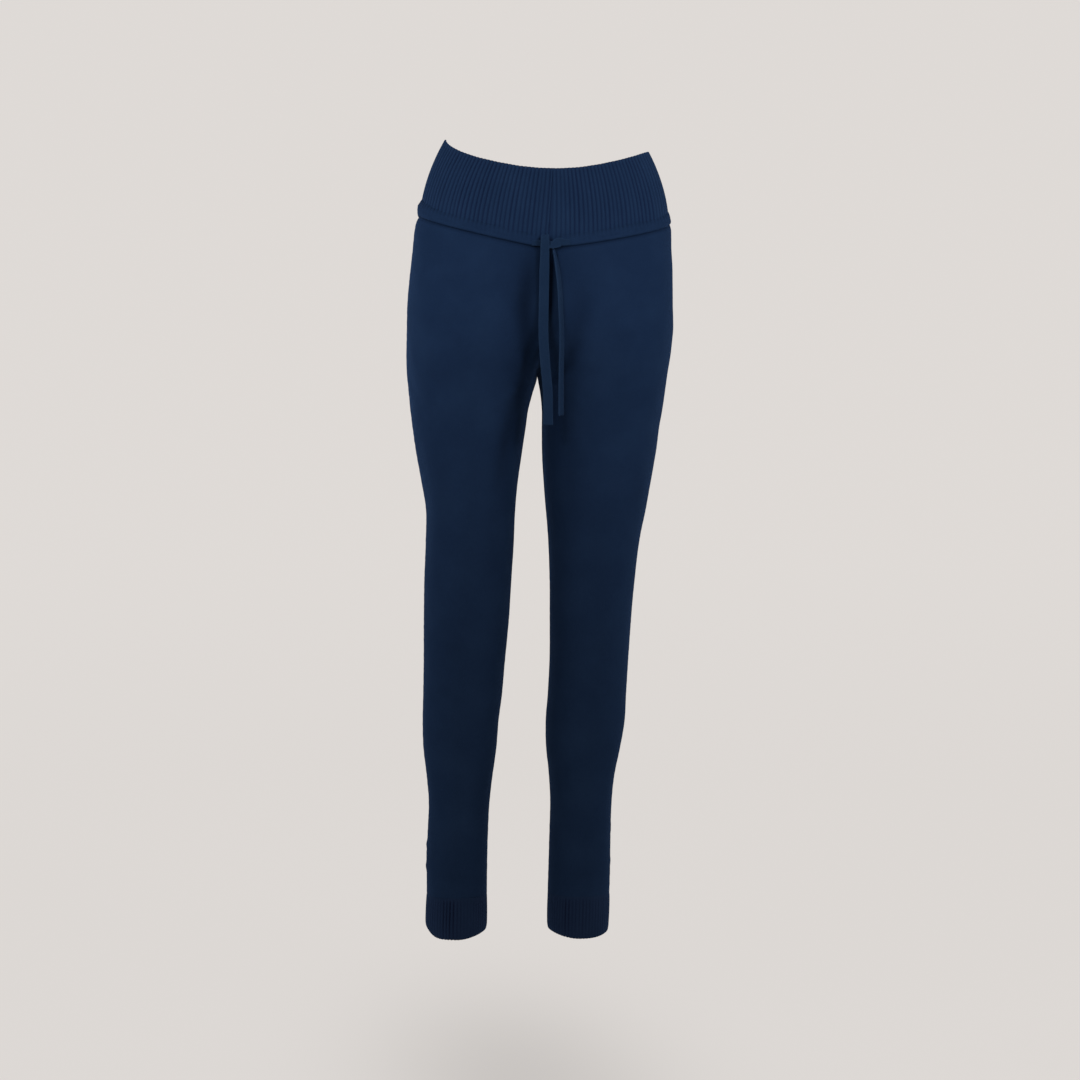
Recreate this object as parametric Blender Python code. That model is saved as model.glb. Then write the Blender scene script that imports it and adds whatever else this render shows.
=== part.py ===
"""High-waisted knitted sweatpants: a deep rib waistband with a drawstring tunnel, four leg panels, two
rib cuffs and the two hanging ends of a flat drawstring. Metres, +Z up, front towards -Y. The wearer's
right leg is at -X. The origin is the middle of the waist opening, level with the front of its rim."""

from collections import namedtuple
import math

import bpy
import numpy as np

MM = 0.001

# Cloth
SEAM_GAP = 0.3 * MM          # between two pieces at a seam
JERSEY_WALL = 2.0 * MM       # plain knit of the legs
RIB_WALL = 2.8 * MM          # double rib of waistband and cuffs
JERSEY_COLOUR = (0.010, 0.021, 0.052, 1.0)
RIB_COLOUR = (0.012, 0.025, 0.060, 1.0)
TIE_COLOUR = (0.014, 0.029, 0.068, 1.0)

# Waistband and the tunnel on its foot
BAND_BULGE = 6.0 * MM        # how far the band bows out halfway down
BAND_ROWS = 6
BAND_COLUMNS = 26            # on each half of the waistband
BAND_FOOT = (0.8, 0.9, 1.0)  # shares down the band that the tunnel lies on
TUNNEL_HEIGHT = 14.5 * MM
TUNNEL_PROUD = 2.9 * MM      # how far the tunnel stands out from the band
WAIST_TUCK = 2.5 * MM        # the panels are drawn in under the tunnel
MOUTHS = (-16.5 * MM, 5.5 * MM)   # where the tunnel ends, each side of centre front

# Grid of a leg panel
HIP_ROWS = 11                # waist seam to crotch
LEG_ROWS = 17                # crotch to cuff
PANEL_COLUMNS = 11
SWEEP_DROP = 46.0 * MM       # the crotch row reaches the side seam this far below the crotch
SWEEP_END = 150.0 * MM       # and the rows are level again this far below it
SWEEP_CURVE = 2.2            # how much of the drop is near the inner edge
SEAM_FADE = 2.2              # how soon the rows lose the waist seam's curve
LEG_ROW_GROWTH = 1.08        # the rows spread a little towards the cuff
CROTCH_Z = -254.0 * MM
SEAT_BRIDGE = 0.42           # how far the cloth of the back bridges from one side to the other
SEAT_BRIDGE_HEIGHT = 115.0 * MM

# Cuffs
CUFF_TOP = -930.0 * MM
CUFF_COLUMNS = 26
CUFF_ROWS = (0.0, 0.33, 0.66, 0.9, 1.0)
HEM_TUCK = 1.2 * MM          # the hem is drawn in
HEM_THINNING = 0.8 * MM      # and its folded edge is thinner

# Drawstring
TIE_WIDTH = 12.5 * MM
TIE_WALL = 2.4 * MM

Level = namedtuple("Level", "z centre right_out left_out right_in left_in front back square")
# Cloth outline level by level, in millimetres. Above the crotch, right_in and left_in say how far each
# leg's ring reaches past the centre plane: the hips are where the two rings run into each other.
LEVELS = [
    #     z  centre  r_out  l_out   r_in   l_in  front   back  square
    Level(-50, -4.0, -166.5, 162.2, 159.5, -168.0, -106.5, 111.0, 2.30),
    Level(-68, -4.5, -169.9, 162.5, 160.0, -171.0, -108.5, 115.0, 2.30),
    Level(-90, -5.5, -172.1, 162.6, 159.0, -171.0, -111.5, 120.5, 2.32),
    Level(-115, -7.0, -174.8, 164.1, 149.0, -163.0, -115.0, 127.0, 2.34),
    Level(-145, -8.0, -178.0, 164.3, 128.0, -144.0, -118.5, 128.5, 2.36),
    Level(-170, -8.7, -179.7, 164.4, 97.0, -114.0, -120.3, 130.8, 2.36),
    Level(-195, -9.3, -180.1, 164.6, 61.0, -79.5, -120.5, 131.3, 2.34),
    Level(-215, -9.8, -180.4, 162.8, 30.0, -49.5, -119.0, 129.8, 2.32),
    Level(-232, -10.3, -180.5, 160.8, 7.5, -28.5, -116.8, 127.2, 2.30),
    Level(-244, -10.8, -180.3, 158.8, -3.8, -18.0, -115.0, 124.8, 2.28),
    Level(-254, -11.2, -180.0, 157.2, -11.2, -11.2, -113.2, 122.6, 2.26),
    Level(-265, -11.5, -179.1, 155.6, -13.8, -8.6, -111.6, 119.6, 2.24),
    Level(-280, -12.0, -177.8, 153.2, -18.7, -6.2, -109.8, 115.4, 2.22),
    Level(-301, -13.0, -175.8, 150.0, -24.2, -4.8, -107.0, 109.4, 2.20),
    Level(-325, -14.5, -173.0, 145.5, -27.6, -4.9, -104.0, 102.8, 2.20),
    Level(-355, -16.0, -168.8, 141.5, -32.0, -5.0, -100.5, 94.8, 2.18),
    Level(-392, -18.5, -162.1, 134.9, -37.4, -3.3, -96.5, 85.4, 2.16),
    Level(-430, -20.5, -156.1, 127.7, -41.4, -0.6, -93.0, 76.0, 2.15),
    Level(-470, -21.5, -156.4, 119.2, -43.5, 2.3, -89.0, 67.5, 2.14),
    Level(-520, -23.0, -158.4, 113.1, -46.8, 3.6, -84.0, 58.0, 2.12),
    Level(-573, -25.0, -159.2, 108.5, -50.0, 3.7, -78.2, 52.0, 2.10),
    Level(-625, -28.0, -159.3, 105.2, -54.6, 3.8, -71.8, 51.5, 2.10),
    Level(-670, -31.0, -159.8, 102.9, -58.2, 2.0, -65.2, 54.5, 2.10),
    Level(-705, -33.0, -160.4, 101.5, -62.5, -0.3, -60.0, 56.8, 2.10),
    Level(-740, -34.0, -159.3, 96.1, -65.2, 0.4, -54.5, 57.0, 2.08),
    Level(-775, -35.0, -155.2, 89.0, -70.0, 4.0, -49.5, 55.0, 2.06),
    Level(-810, -35.5, -152.4, 85.4, -73.9, 5.8, -45.5, 51.5, 2.04),
    Level(-850, -36.0, -153.9, 84.2, -75.9, 4.7, -42.0, 48.0, 2.02),
    Level(-900, -37.0, -155.4, 83.7, -77.0, 3.2, -39.5, 46.0, 2.00),
    Level(-935, -38.0, -155.9, 83.1, -77.2, 2.2, -38.5, 45.5, 2.00),
    Level(-970, -38.5, -157.2, 81.8, -77.3, 1.6, -38.0, 45.0, 2.00),
]

Ring = namedtuple("Ring", "centre right left right_z left_z front front_z back back_z")
# The rim of the waistband, and the heights of the waist seam, in millimetres
RIM = Ring(0.0, -131.0, 132.5, 47.0, 34.2, -95.0, -1.0, 95.0, 11.0)
Seam = namedtuple("Seam", "right_z left_z front_z back_z right_straight left_straight")
WAIST_SEAM = Seam(-57.0, -62.4, -102.0, -92.0, 0.80, 0.35)
RIM_SHARPNESS = {"right": 0.80, "left": 0.64}   # how pointed the peaks at the sides are
RIM_ROUND = {"right": 0.1, "left": 0.8}         # how much of the front rim's rise is a plain bow
RIM_BACK_STRAIGHT = 0.15
PEAK_SOFTNESS = 0.09         # keeps a straight rise from making a corner at the centre
BACK_SEAM_CURVE = 1.6

Hem = namedtuple("Hem", "outer_z inner_z front_z back_z")
HEMS = {"right": Hem(-968.0, -969.5, -983.0, -976.0), "left": Hem(-976.0, -971.0, -983.0, -976.0)}
HEM_POWER = 5.5              # how late the hem lifts towards the sides

Hang = namedtuple("Hang", "z x y turn")
# The drawstring's ends from the knot down, in millimetres; turn is the ribbon's twist in degrees
TIE_RIGHT = [
    Hang(-105.6, -12.4, -117.3, 4), Hang(-140, -13.4, -121.5, 3), Hang(-178, -14.2, -123.5, 2),
    Hang(-213, -14.5, -124.0, 0), Hang(-248, -12.2, -124.0, -3), Hang(-283, -9.0, -123.5, -4),
    Hang(-324, -8.7, -123.0, -2),
]
TIE_LEFT = [
    Hang(-105.5, -1.6, -118.6, 58), Hang(-125, 1.4, -124.2, 60), Hang(-150, 5.4, -127.8, 60),
    Hang(-178, 7.4, -128.9, 57), Hang(-213, 8.2, -128.8, 62), Hang(-260, 7.4, -127.8, 59),
    Hang(-312, 7.2, -127.2, 58),
]
TIE_ROWS = 22
KNOT_SIZE = (20.5 * MM, 6.4 * MM, 15.5 * MM)
KNOT_Z = -97.8 * MM
KNOT_RINGS = 8
KNOT_SIDES = 16
KNOT_SQUARE = (0.6, 0.7)     # roundness of the cushion seen from the side and from above
KNOT_BAND_SHARE = 0.95       # how far down the band it lies


# ---------------------------------------------------------------- tables and curves

def smooth(xs, ys, x):
    """A smooth curve through a table's points, with the slope at each point taken from its neighbours."""
    i = int(np.clip(np.searchsorted(xs, x) - 1, 0, len(xs) - 2))
    slopes = []
    for k in (i, i + 1):
        lo = max(k - 1, 0)
        hi = min(k + 1, len(xs) - 1)
        slopes.append((ys[hi] - ys[lo]) / (xs[hi] - xs[lo]))
    span = xs[i + 1] - xs[i]
    t = (x - xs[i]) / span
    return (
        (2 * t**3 - 3 * t**2 + 1) * ys[i]
        + (t**3 - 2 * t**2 + t) * span * slopes[0]
        + (3 * t**2 - 2 * t**3) * ys[i + 1]
        + (t**3 - t**2) * span * slopes[1]
    )


DEPTHS = np.array([-row.z for row in LEVELS]) * MM
COLUMNS = {name: np.array([getattr(row, name) for row in LEVELS]) for name in Level._fields}


def at_level(name, z):
    """One column of LEVELS at height z, in metres, or bare for square."""
    value = smooth(DEPTHS, COLUMNS[name], -z)
    return value if name == "square" else value * MM


def power(value, exponent):
    return math.copysign(abs(value) ** exponent, value)


def leg_ring(side, face, z):
    """The middle, half width and direction of one leg's ring at height z."""
    outer = at_level(side + "_out", z)
    inner = at_level(side + "_in", z)
    if face == "back" and z > CROTCH_Z:
        t = min((z - CROTCH_Z) / SEAT_BRIDGE_HEIGHT, 1.0)
        whole = 2 * at_level("centre", z) - outer
        inner += (whole - inner) * SEAT_BRIDGE * (3 - 2 * t) * t * t
    return (outer + inner) / 2, abs(inner - outer) / 2, 1 if inner > outer else -1


def ring_point(side, face, z, angle):
    """The point of a leg's ring: angle 0 is its inner end, 90 its front or back, 180 its outer end."""
    middle, half, inward = leg_ring(side, face, z)
    curve = 2 / at_level("square", z)
    front = at_level("front", z)
    back = at_level("back", z)
    y_middle = (front + back) / 2
    reach = (front if face == "front" else back) - y_middle
    a = math.radians(angle)
    x = middle + inward * half * power(math.cos(a), curve)
    return np.array([x, y_middle + reach * power(max(math.sin(a), 0.0), curve), z])


def first_angle(side, face, z):
    """Where the ring leaves the centre plane: 0 below the crotch."""
    if z <= CROTCH_Z:
        return 0.0
    middle, half, inward = leg_ring(side, face, z)
    ratio = np.clip((at_level("centre", z) - middle) * inward / half, 0.0, 1.0)
    return math.degrees(math.acos(ratio ** (at_level("square", z) / 2)))


def edge_lift(side, across, deep, straight):
    """How far an edge has climbed from centre to side: across and deep run 0 to 1 along the ring."""
    soft = PEAK_SOFTNESS
    line = (math.hypot(across, soft) - soft) / (math.hypot(1.0, soft) - soft)
    return straight * line + (1 - straight) * (1 - min(deep, 1.0)) ** RIM_SHARPNESS[side]


def seam_height(side, face, angle):
    """The height of the waist seam at an angle of the hip ring: 90 is the centre, 180 the side."""
    curve = 2 / LEVELS[1].square
    across = abs(power(math.cos(math.radians(angle)), curve))
    deep = abs(power(math.sin(math.radians(angle)), curve))
    high = getattr(WAIST_SEAM, side + "_z") * MM
    if face == "back":
        low = WAIST_SEAM.back_z * MM
        return low + (high - low) * across**BACK_SEAM_CURVE
    low = WAIST_SEAM.front_z * MM
    return low + (high - low) * edge_lift(side, across, deep, getattr(WAIST_SEAM, side + "_straight"))


# ---------------------------------------------------------------- solids

def outward_normals(grid, outward):
    down, along = np.gradient(grid, axis=0), np.gradient(grid, axis=1)
    normal = np.cross(along, down)
    normal /= np.linalg.norm(normal, axis=2, keepdims=True)
    sign = np.sign(np.sum(normal * outward))
    return normal * sign


def halves(points, quad):
    """The two triangles of a quad, split along its shorter diagonal."""
    a, b, c, d = quad
    if np.linalg.norm(points[a] - points[c]) <= np.linalg.norm(points[b] - points[d]):
        return (a, b, c), (a, c, d)
    return (a, b, d), (b, c, d)


def wall_object(name, outer, inner, material, closed=False):
    """A wall between two grids of points, with its edges shut. A closed wall joins its last column to
    its first."""
    rows, columns = outer.shape[:2]
    points = np.concatenate([outer.reshape(-1, 3), inner.reshape(-1, 3)])
    skin = rows * columns
    faces = []
    spans = columns if closed else columns - 1
    for i in range(rows - 1):
        for j in range(spans):
            k = (j + 1) % columns
            quad = (i * columns + j, i * columns + k, (i + 1) * columns + k, (i + 1) * columns + j)
            for a, b, c in halves(points, quad):
                faces.append((a, b, c))
                faces.append((c + skin, b + skin, a + skin))
    for i, turn in ((0, 1), (rows - 1, -1)):
        for j in range(spans):
            k = (j + 1) % columns
            face = (i * columns + j, i * columns + j + skin, i * columns + k + skin, i * columns + k)
            faces.append(face[::turn])
    if not closed:
        for j, turn in ((0, -1), (columns - 1, 1)):
            for i in range(rows - 1):
                a, d = i * columns + j, (i + 1) * columns + j
                faces.append((a, a + skin, d + skin, d)[::turn])
    return mesh_object(name, points, faces, material)


def signed_volume(points, faces):
    total = 0.0
    for face in faces:
        for k in range(1, len(face) - 1):
            total += np.dot(points[face[0]], np.cross(points[face[k]], points[face[k + 1]]))
    return total


def mesh_object(name, points, faces, material):
    if signed_volume(points, faces) < 0:
        faces = [face[::-1] for face in faces]
    mesh = bpy.data.meshes.new(name)
    mesh.from_pydata([tuple(p) for p in points], [], faces)
    mesh.materials.append(material)
    mesh.validate()
    obj = bpy.data.objects.new(name, mesh)
    bpy.context.scene.collection.objects.link(obj)
    return obj


def cloth_material(name, colour):
    material = bpy.data.materials.new(name)
    material.use_nodes = True
    shader = material.node_tree.nodes["Principled BSDF"]
    shader.inputs["Base Color"].default_value = colour
    shader.inputs["Roughness"].default_value = 0.9
    return material


# ---------------------------------------------------------------- leg panels

def rise_heights(side, face):
    """Heights of the rows on the rise, evenly spaced along it from the waist seam to the crotch."""
    top = seam_height(side, face, 90.0)
    fine = [CROTCH_Z + (top - CROTCH_Z) * (1 - k / 400) ** 2 for k in range(401)]
    points = [ring_point(side, face, z, first_angle(side, face, z)) for z in fine]
    steps = [np.linalg.norm(b[1:] - a[1:]) for a, b in zip(points, points[1:])]
    length = np.concatenate([[0.0], np.cumsum(steps)])
    return [float(np.interp(length[-1] * k / HIP_ROWS, length, fine)) for k in range(HIP_ROWS + 1)]


def panel_rows(side, face):
    """(height at the inner edge, height at the side seam, share of the waist seam's own curve)"""
    rows = []
    side_top = seam_height(side, face, 180.0)
    side_crotch = CROTCH_Z - SWEEP_DROP
    for k, z in enumerate(rise_heights(side, face)):
        s = k / HIP_ROWS
        rows.append((z, side_top + (side_crotch - side_top) * s, max(0.0, 1 - SEAM_FADE * s) ** 2))
    for k in range(1, LEG_ROWS + 1):
        z = CROTCH_Z + (CUFF_TOP - CROTCH_Z) * (k / LEG_ROWS) ** LEG_ROW_GROWTH
        below = min((CROTCH_Z - z) / SWEEP_END, 1.0)
        rows.append((z, z - SWEEP_DROP * (1 - below) ** 2, 0.0))
    return rows


def panel_grid(side, face):
    """The panel's outer face: rows from waist to cuff, columns from the inner edge to the side seam."""
    grid = []
    for z_in, z_out, seam_share in panel_rows(side, face):
        start = first_angle(side, face, z_in)
        row = []
        for j in range(PANEL_COLUMNS + 1):
            u = j / PANEL_COLUMNS
            angle = start + (180.0 - start) * u
            sweep = 1 - (1 - u) ** SWEEP_CURVE
            z = z_in + (z_out - z_in) * sweep
            if seam_share > 0:
                own = seam_height(side, face, max(angle, 90.0))
                top_in = seam_height(side, face, 90.0)
                top_out = seam_height(side, face, 180.0)
                lifted = z_in + (z_out - z_in) * (own - top_in) / (top_out - top_in)
                z = z + (lifted - z) * seam_share
            row.append(ring_point(side, face, z, max(angle, first_angle(side, face, z))))
        grid.append(row)
    return np.array(grid)


def leg_panel(side, face, material):
    grid = panel_grid(side, face)
    ahead = -1.0 if face == "front" else 1.0
    inward = 1.0 if side == "right" else -1.0
    normals = outward_normals(grid, np.array([0.0, ahead, 0.0]))
    # the edges' thickness stays in the plane of their seam
    normals[:, 0, 0] = inward * np.maximum(inward * normals[:, 0, 0], 0.0)
    normals[HIP_ROWS:, 0] = (inward, 0.0, 0.0)
    normals[:, -1] = (-inward, 0.0, 0.0)
    normals /= np.linalg.norm(normals, axis=2, keepdims=True)
    grid[0] -= normals[0] * WAIST_TUCK
    grid[0, :, 2] -= SEAM_GAP / 2
    grid[-1, :, 2] += SEAM_GAP / 2
    half_gap = SEAM_GAP / 2
    grid[: HIP_ROWS + 1, 0, 0] -= inward * half_gap
    grid[HIP_ROWS:, 0, 1] += ahead * half_gap
    grid[:, -1, 1] += ahead * half_gap
    inner = grid - normals * JERSEY_WALL
    inner[0, :, 2] = grid[0, :, 2]
    inner[-1, :, 2] = grid[-1, :, 2]
    return wall_object(f"{face}_{side}", grid, inner, material)


# ---------------------------------------------------------------- waistband and tunnel

def rim_point(side, face, angle):
    a = math.radians(angle)
    curve = 2 / LEVELS[0].square
    across = abs(power(math.cos(a), curve))
    deep = abs(power(math.sin(a), curve))
    end = getattr(RIM, side)
    low = RIM.front_z if face == "front" else RIM.back_z
    high = getattr(RIM, side + "_z")
    y_side = (RIM.front + RIM.back) / 2
    y_reach = getattr(RIM, face) - y_side
    if face == "front":
        bow = RIM_ROUND[side]
        lift = bow * across**2 + (1 - bow) * edge_lift(side, across, deep, 0.0)
    else:
        lift = edge_lift(side, across, deep, RIM_BACK_STRAIGHT)
    z = low + (high - low) * lift
    return np.array([RIM.centre + (end - RIM.centre) * across, y_side + y_reach * deep, z]) * MM


def band_point(side, face, angle, t):
    """A point of the waistband's outer face: t runs from the rim, 0, to the waist seam, 1."""
    foot = ring_point(side, face, seam_height(side, face, angle), angle)
    top = rim_point(side, face, angle)
    out = foot - np.array([at_level("centre", foot[2]), 0.0, foot[2]])
    out[2] = 0.0
    out /= np.linalg.norm(out)
    foot = foot - out * WAIST_TUCK
    return top + (foot - top) * t + out * BAND_BULGE * 4 * t * (1 - t)


def half_turn(count):
    """(side, angle) from the wearer's right side, over the centre, to the left side."""
    steps = []
    for j in range(count + 1):
        a = 180.0 * j / count
        steps.append(("right", 180.0 - a) if a < 90.0 else ("left", a))
    return steps


def band_grid(face, shares, count):
    return np.array([[band_point(s, face, a, t) for s, a in half_turn(count)] for t in shares])


def waistband(face, material):
    outer = band_grid(face, [k / BAND_ROWS for k in range(BAND_ROWS + 1)], BAND_COLUMNS)
    ahead = -1.0 if face == "front" else 1.0
    normals = outward_normals(outer, np.array([0.0, ahead, 0.0]))
    normals[:, (0, -1), 1] = 0.0
    normals /= np.linalg.norm(normals, axis=2, keepdims=True)
    outer[-1, :, 2] += SEAM_GAP / 2
    outer[:, (0, -1), 1] += ahead * SEAM_GAP / 2
    inner = outer - normals * RIB_WALL
    inner[0, :, 2] = outer[0, :, 2]
    inner[-1, :, 2] = outer[-1, :, 2]
    return wall_object(f"waistband_{face}", outer, inner, material)


Lip = namedtuple("Lip", "share_down share_out")
# The tunnel's section round its own middle: share_down runs along its height, share_out across it
TUNNEL_SECTION = [
    Lip(0.0, 0.0), Lip(0.03, 0.55), Lip(0.28, 0.95),
    Lip(0.70, 1.0), Lip(1.0, 0.75), Lip(1.0, 0.0),
]


def tunnel(material):
    """The tunnel lies on the band's foot, all round but for its two mouths at centre front."""
    around = []
    for side, angle in half_turn(BAND_COLUMNS):
        around.append((side, "front", angle))
    back = [(side, "back", angle) for side, angle in half_turn(BAND_COLUMNS)][1:-1]
    around = around + back[::-1]
    grid = np.array([[band_point(s, f, a, t) for s, f, a in around] for t in BAND_FOOT])
    normal = np.cross(
        np.roll(grid[2], -1, axis=0) - np.roll(grid[2], 1, axis=0), grid[2] - grid[0]
    )
    normal /= np.linalg.norm(normal, axis=1, keepdims=True)
    centre = grid[2].mean(axis=0)
    normal *= np.sign(np.sum(normal * (grid[2] - centre), axis=1, keepdims=True))
    down = grid[2] - grid[0]
    down /= np.linalg.norm(down, axis=1, keepdims=True)
    foot = grid[2]
    rings = []
    for lip in TUNNEL_SECTION:
        off = SEAM_GAP + TUNNEL_PROUD * lip.share_out
        up = TUNNEL_HEIGHT * (1 - lip.share_down)
        rings.append(foot - down * up + normal * off)
    rings = np.array(rings)
    front = [j for j, (s, f, a) in enumerate(around) if f == "front"]
    xs = foot[:, 0]
    first = [j for j in front if xs[j] > MOUTHS[1]][0]
    last = [j for j in front if xs[j] < MOUTHS[0]][-1]
    order = list(range(first, len(around))) + list(range(0, last + 1))
    strip = rings[:, order]
    # bring each end exactly to its mouth
    for end, near, mouth in ((0, 1, MOUTHS[1]), (-1, -2, MOUTHS[0])):
        step = strip[:, end] - strip[:, near]
        share = (mouth - strip[:, end, 0].mean()) / step[:, 0].mean()
        strip[:, end] = strip[:, end] + step * share
    points = strip.transpose(1, 0, 2).reshape(-1, 3)
    sides = len(TUNNEL_SECTION)
    count = len(order)
    faces = [tuple(range(sides)), tuple(range((count - 1) * sides, count * sides))[::-1]]
    for i in range(count - 1):
        for k in range(sides):
            m = (k + 1) % sides
            faces.append((i * sides + m, i * sides + k, (i + 1) * sides + k, (i + 1) * sides + m))
    return mesh_object("drawstring_casing", points, faces, material)


# ---------------------------------------------------------------- cuffs

def cuff(side, material):
    """A rib tube from the cuff seam to its hem, longer in front."""
    hem = HEMS[side]
    outer = []
    for t in CUFF_ROWS:
        row = []
        for j in range(CUFF_COLUMNS):
            turn = 360.0 * j / CUFF_COLUMNS
            face = "front" if turn <= 180.0 else "back"
            angle = turn if turn <= 180.0 else 360.0 - turn
            a = math.radians(angle)
            low = hem.front_z if face == "front" else hem.back_z
            high = hem.inner_z if math.cos(a) > 0 else hem.outer_z
            foot = (low + (high - low) * abs(math.cos(a)) ** HEM_POWER) * MM
            top = CUFF_TOP - SEAM_GAP / 2
            z = top + (foot - top) * t
            point = ring_point(side, face, max(z, LEVELS[-1].z * MM), angle)
            point[2] = z
            row.append(point)
        outer.append(row)
    outer = np.array(outer)
    middle = outer.mean(axis=(0, 1))
    away = outer - middle
    away[:, :, 2] = 0.0
    away /= np.linalg.norm(away, axis=2, keepdims=True)
    outer[-1] -= away[-1] * HEM_TUCK
    inner = outer - away * RIB_WALL
    inner[-1] += away[-1] * HEM_THINNING
    return wall_object(f"cuff_{side}", outer, inner, material, closed=True)


# ---------------------------------------------------------------- drawstring

def ribbon(name, hang, width, wall, material):
    """A flat ribbon down a table of Hang rows, as one closed strip."""
    depths = np.array([-row.z for row in hang])
    columns = {field: np.array([getattr(row, field) for row in hang]) for field in Hang._fields}
    corners = [(-0.5, -0.5), (0.5, -0.5), (0.5, 0.5), (-0.5, 0.5)]
    points = []
    for k in range(TIE_ROWS + 1):
        depth = depths[0] + (depths[-1] - depths[0]) * k / TIE_ROWS
        x, y, turn = (smooth(depths, columns[field], depth) for field in ("x", "y", "turn"))
        a = math.radians(turn)
        for across, thick in corners:
            dx = across * width / MM * math.cos(a) - thick * wall / MM * math.sin(a)
            dy = across * width / MM * math.sin(a) + thick * wall / MM * math.cos(a)
            points.append(np.array([x + dx, y + dy, -depth]) * MM)
    count = len(corners)
    faces = [tuple(range(count)), tuple(range(TIE_ROWS * count, (TIE_ROWS + 1) * count))[::-1]]
    for i in range(TIE_ROWS):
        for k in range(count):
            m = (k + 1) % count
            faces.append((i * count + m, i * count + k, (i + 1) * count + k, (i + 1) * count + m))
    return mesh_object(name, np.array(points), faces, material)


def knot(material):
    """The half knot, as one flat cushion in front of the band between the tunnel's mouths."""
    rings = KNOT_RINGS
    sides = KNOT_SIDES
    upright, level = KNOT_SQUARE
    width, depth, height = KNOT_SIZE
    foot = band_point("left", "front", 90.0, KNOT_BAND_SHARE)
    middle = np.array([sum(MOUTHS) / 2, foot[1] - SEAM_GAP - depth / 2, KNOT_Z])
    points = [middle + np.array([0, 0, height / 2])]
    for i in range(1, rings):
        lat = math.pi * i / rings
        for j in range(sides):
            lon = 2 * math.pi * j / sides
            ring = power(math.sin(lat), upright)
            offset = np.array([
                width / 2 * ring * power(math.cos(lon), level),
                depth / 2 * ring * power(math.sin(lon), level),
                height / 2 * power(math.cos(lat), level),
            ])
            points.append(middle + offset)
    points.append(middle - np.array([0, 0, height / 2]))
    faces = []
    for j in range(sides):
        k = (j + 1) % sides
        faces.append((0, 1 + j, 1 + k))
        base = 1 + (rings - 2) * sides
        faces.append((len(points) - 1, base + k, base + j))
        for i in range(rings - 2):
            a = 1 + i * sides
            b = a + sides
            faces.append((a + j, b + j, b + k, a + k))
    return mesh_object("tie_knot", np.array(points), faces, material)


# ---------------------------------------------------------------- the sweatpants

for old in list(bpy.data.objects):
    bpy.data.objects.remove(old, do_unlink=True)

jersey = cloth_material("jersey_knit", JERSEY_COLOUR)
rib = cloth_material("rib_knit", RIB_COLOUR)
tie = cloth_material("drawstring_knit", TIE_COLOUR)

for face in ("front", "back"):
    for side in ("right", "left"):
        leg_panel(side, face, jersey)
    waistband(face, rib)
tunnel(jersey)
for side in ("right", "left"):
    cuff(side, rib)
knot(tie)
ribbon("tie_end_right", TIE_RIGHT, TIE_WIDTH, TIE_WALL, tie)
ribbon("tie_end_left", TIE_LEFT, TIE_WIDTH, TIE_WALL, tie)
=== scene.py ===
# %% [markdown]
# # High-waisted knitted sweatpants
#
# These are fine-knit joggers in navy. A deep rib waistband narrows to a dipping rim, a flat drawstring
# runs in a narrow tunnel on the band's foot, and the tapered legs end in rib cuffs. They are shown filled
# out with no wearer, so every piece is a thin wall of cloth around an empty space.
#
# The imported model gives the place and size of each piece. Here each plain wall is replaced by finer cloth
# made from the same named sizes, with ribs, seams, creases and the knit itself.

import math
from collections import namedtuple

import bpy
import numpy as np
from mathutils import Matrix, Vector


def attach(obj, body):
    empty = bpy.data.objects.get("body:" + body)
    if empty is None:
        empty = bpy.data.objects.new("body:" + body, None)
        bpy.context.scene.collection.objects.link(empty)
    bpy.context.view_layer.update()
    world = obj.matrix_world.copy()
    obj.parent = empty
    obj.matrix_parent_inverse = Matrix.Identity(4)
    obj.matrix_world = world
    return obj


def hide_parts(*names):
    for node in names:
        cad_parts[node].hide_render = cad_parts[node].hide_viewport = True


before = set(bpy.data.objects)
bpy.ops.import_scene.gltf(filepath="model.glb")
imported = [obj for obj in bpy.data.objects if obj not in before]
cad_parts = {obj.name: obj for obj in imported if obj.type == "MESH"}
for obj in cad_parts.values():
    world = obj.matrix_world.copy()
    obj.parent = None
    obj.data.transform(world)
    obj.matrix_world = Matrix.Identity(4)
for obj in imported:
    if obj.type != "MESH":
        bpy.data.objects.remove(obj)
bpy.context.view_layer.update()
MM = 0.001
print("nodes:", ", ".join(sorted(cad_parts)))

# %% [markdown]
# ## Small tools
#
# Most of a garment's form is soft: edges fade in, and bumps swell and die away. A few short functions say
# so in one word each. A ramp climbs between two places, eased rounds its corners, and a bell is a bump.

# %% Ramps, bells and lengths
def ramp(value, start, end):
    """0 up to start, 1 from end on, and a straight climb between them."""
    return np.clip((value - start) / (end - start), 0.0, 1.0)


def eased(share):
    """The same climb from 0 to 1 with rounded corners."""
    return share * share * (3 - 2 * share)


def bell(distance, width, sharpness=2):
    """A soft bump: 1 in its middle, and nearly 0 from twice its width on."""
    return np.exp(-((distance / width) ** sharpness))


def unit(vectors):
    """The same directions, each with a length of 1."""
    return vectors / np.linalg.norm(vectors, axis=-1, keepdims=True)


def line_lengths(points):
    """How far each point is along a line of points."""
    return np.concatenate([[0.0], np.cumsum(np.linalg.norm(np.diff(points, axis=0), axis=1))])


def arc_lengths(points, axis):
    """How far each point is along its row (axis 1) or column (axis 0) of a grid."""
    steps = np.linalg.norm(np.diff(points, axis=axis), axis=2)
    start = np.zeros_like(np.take(steps, [0], axis=axis))
    return np.cumsum(np.concatenate([start, steps], axis=axis), axis=axis)


print("a bell falls to", round(float(bell(1.0, 1.0)), 2), "at its width")
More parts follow.
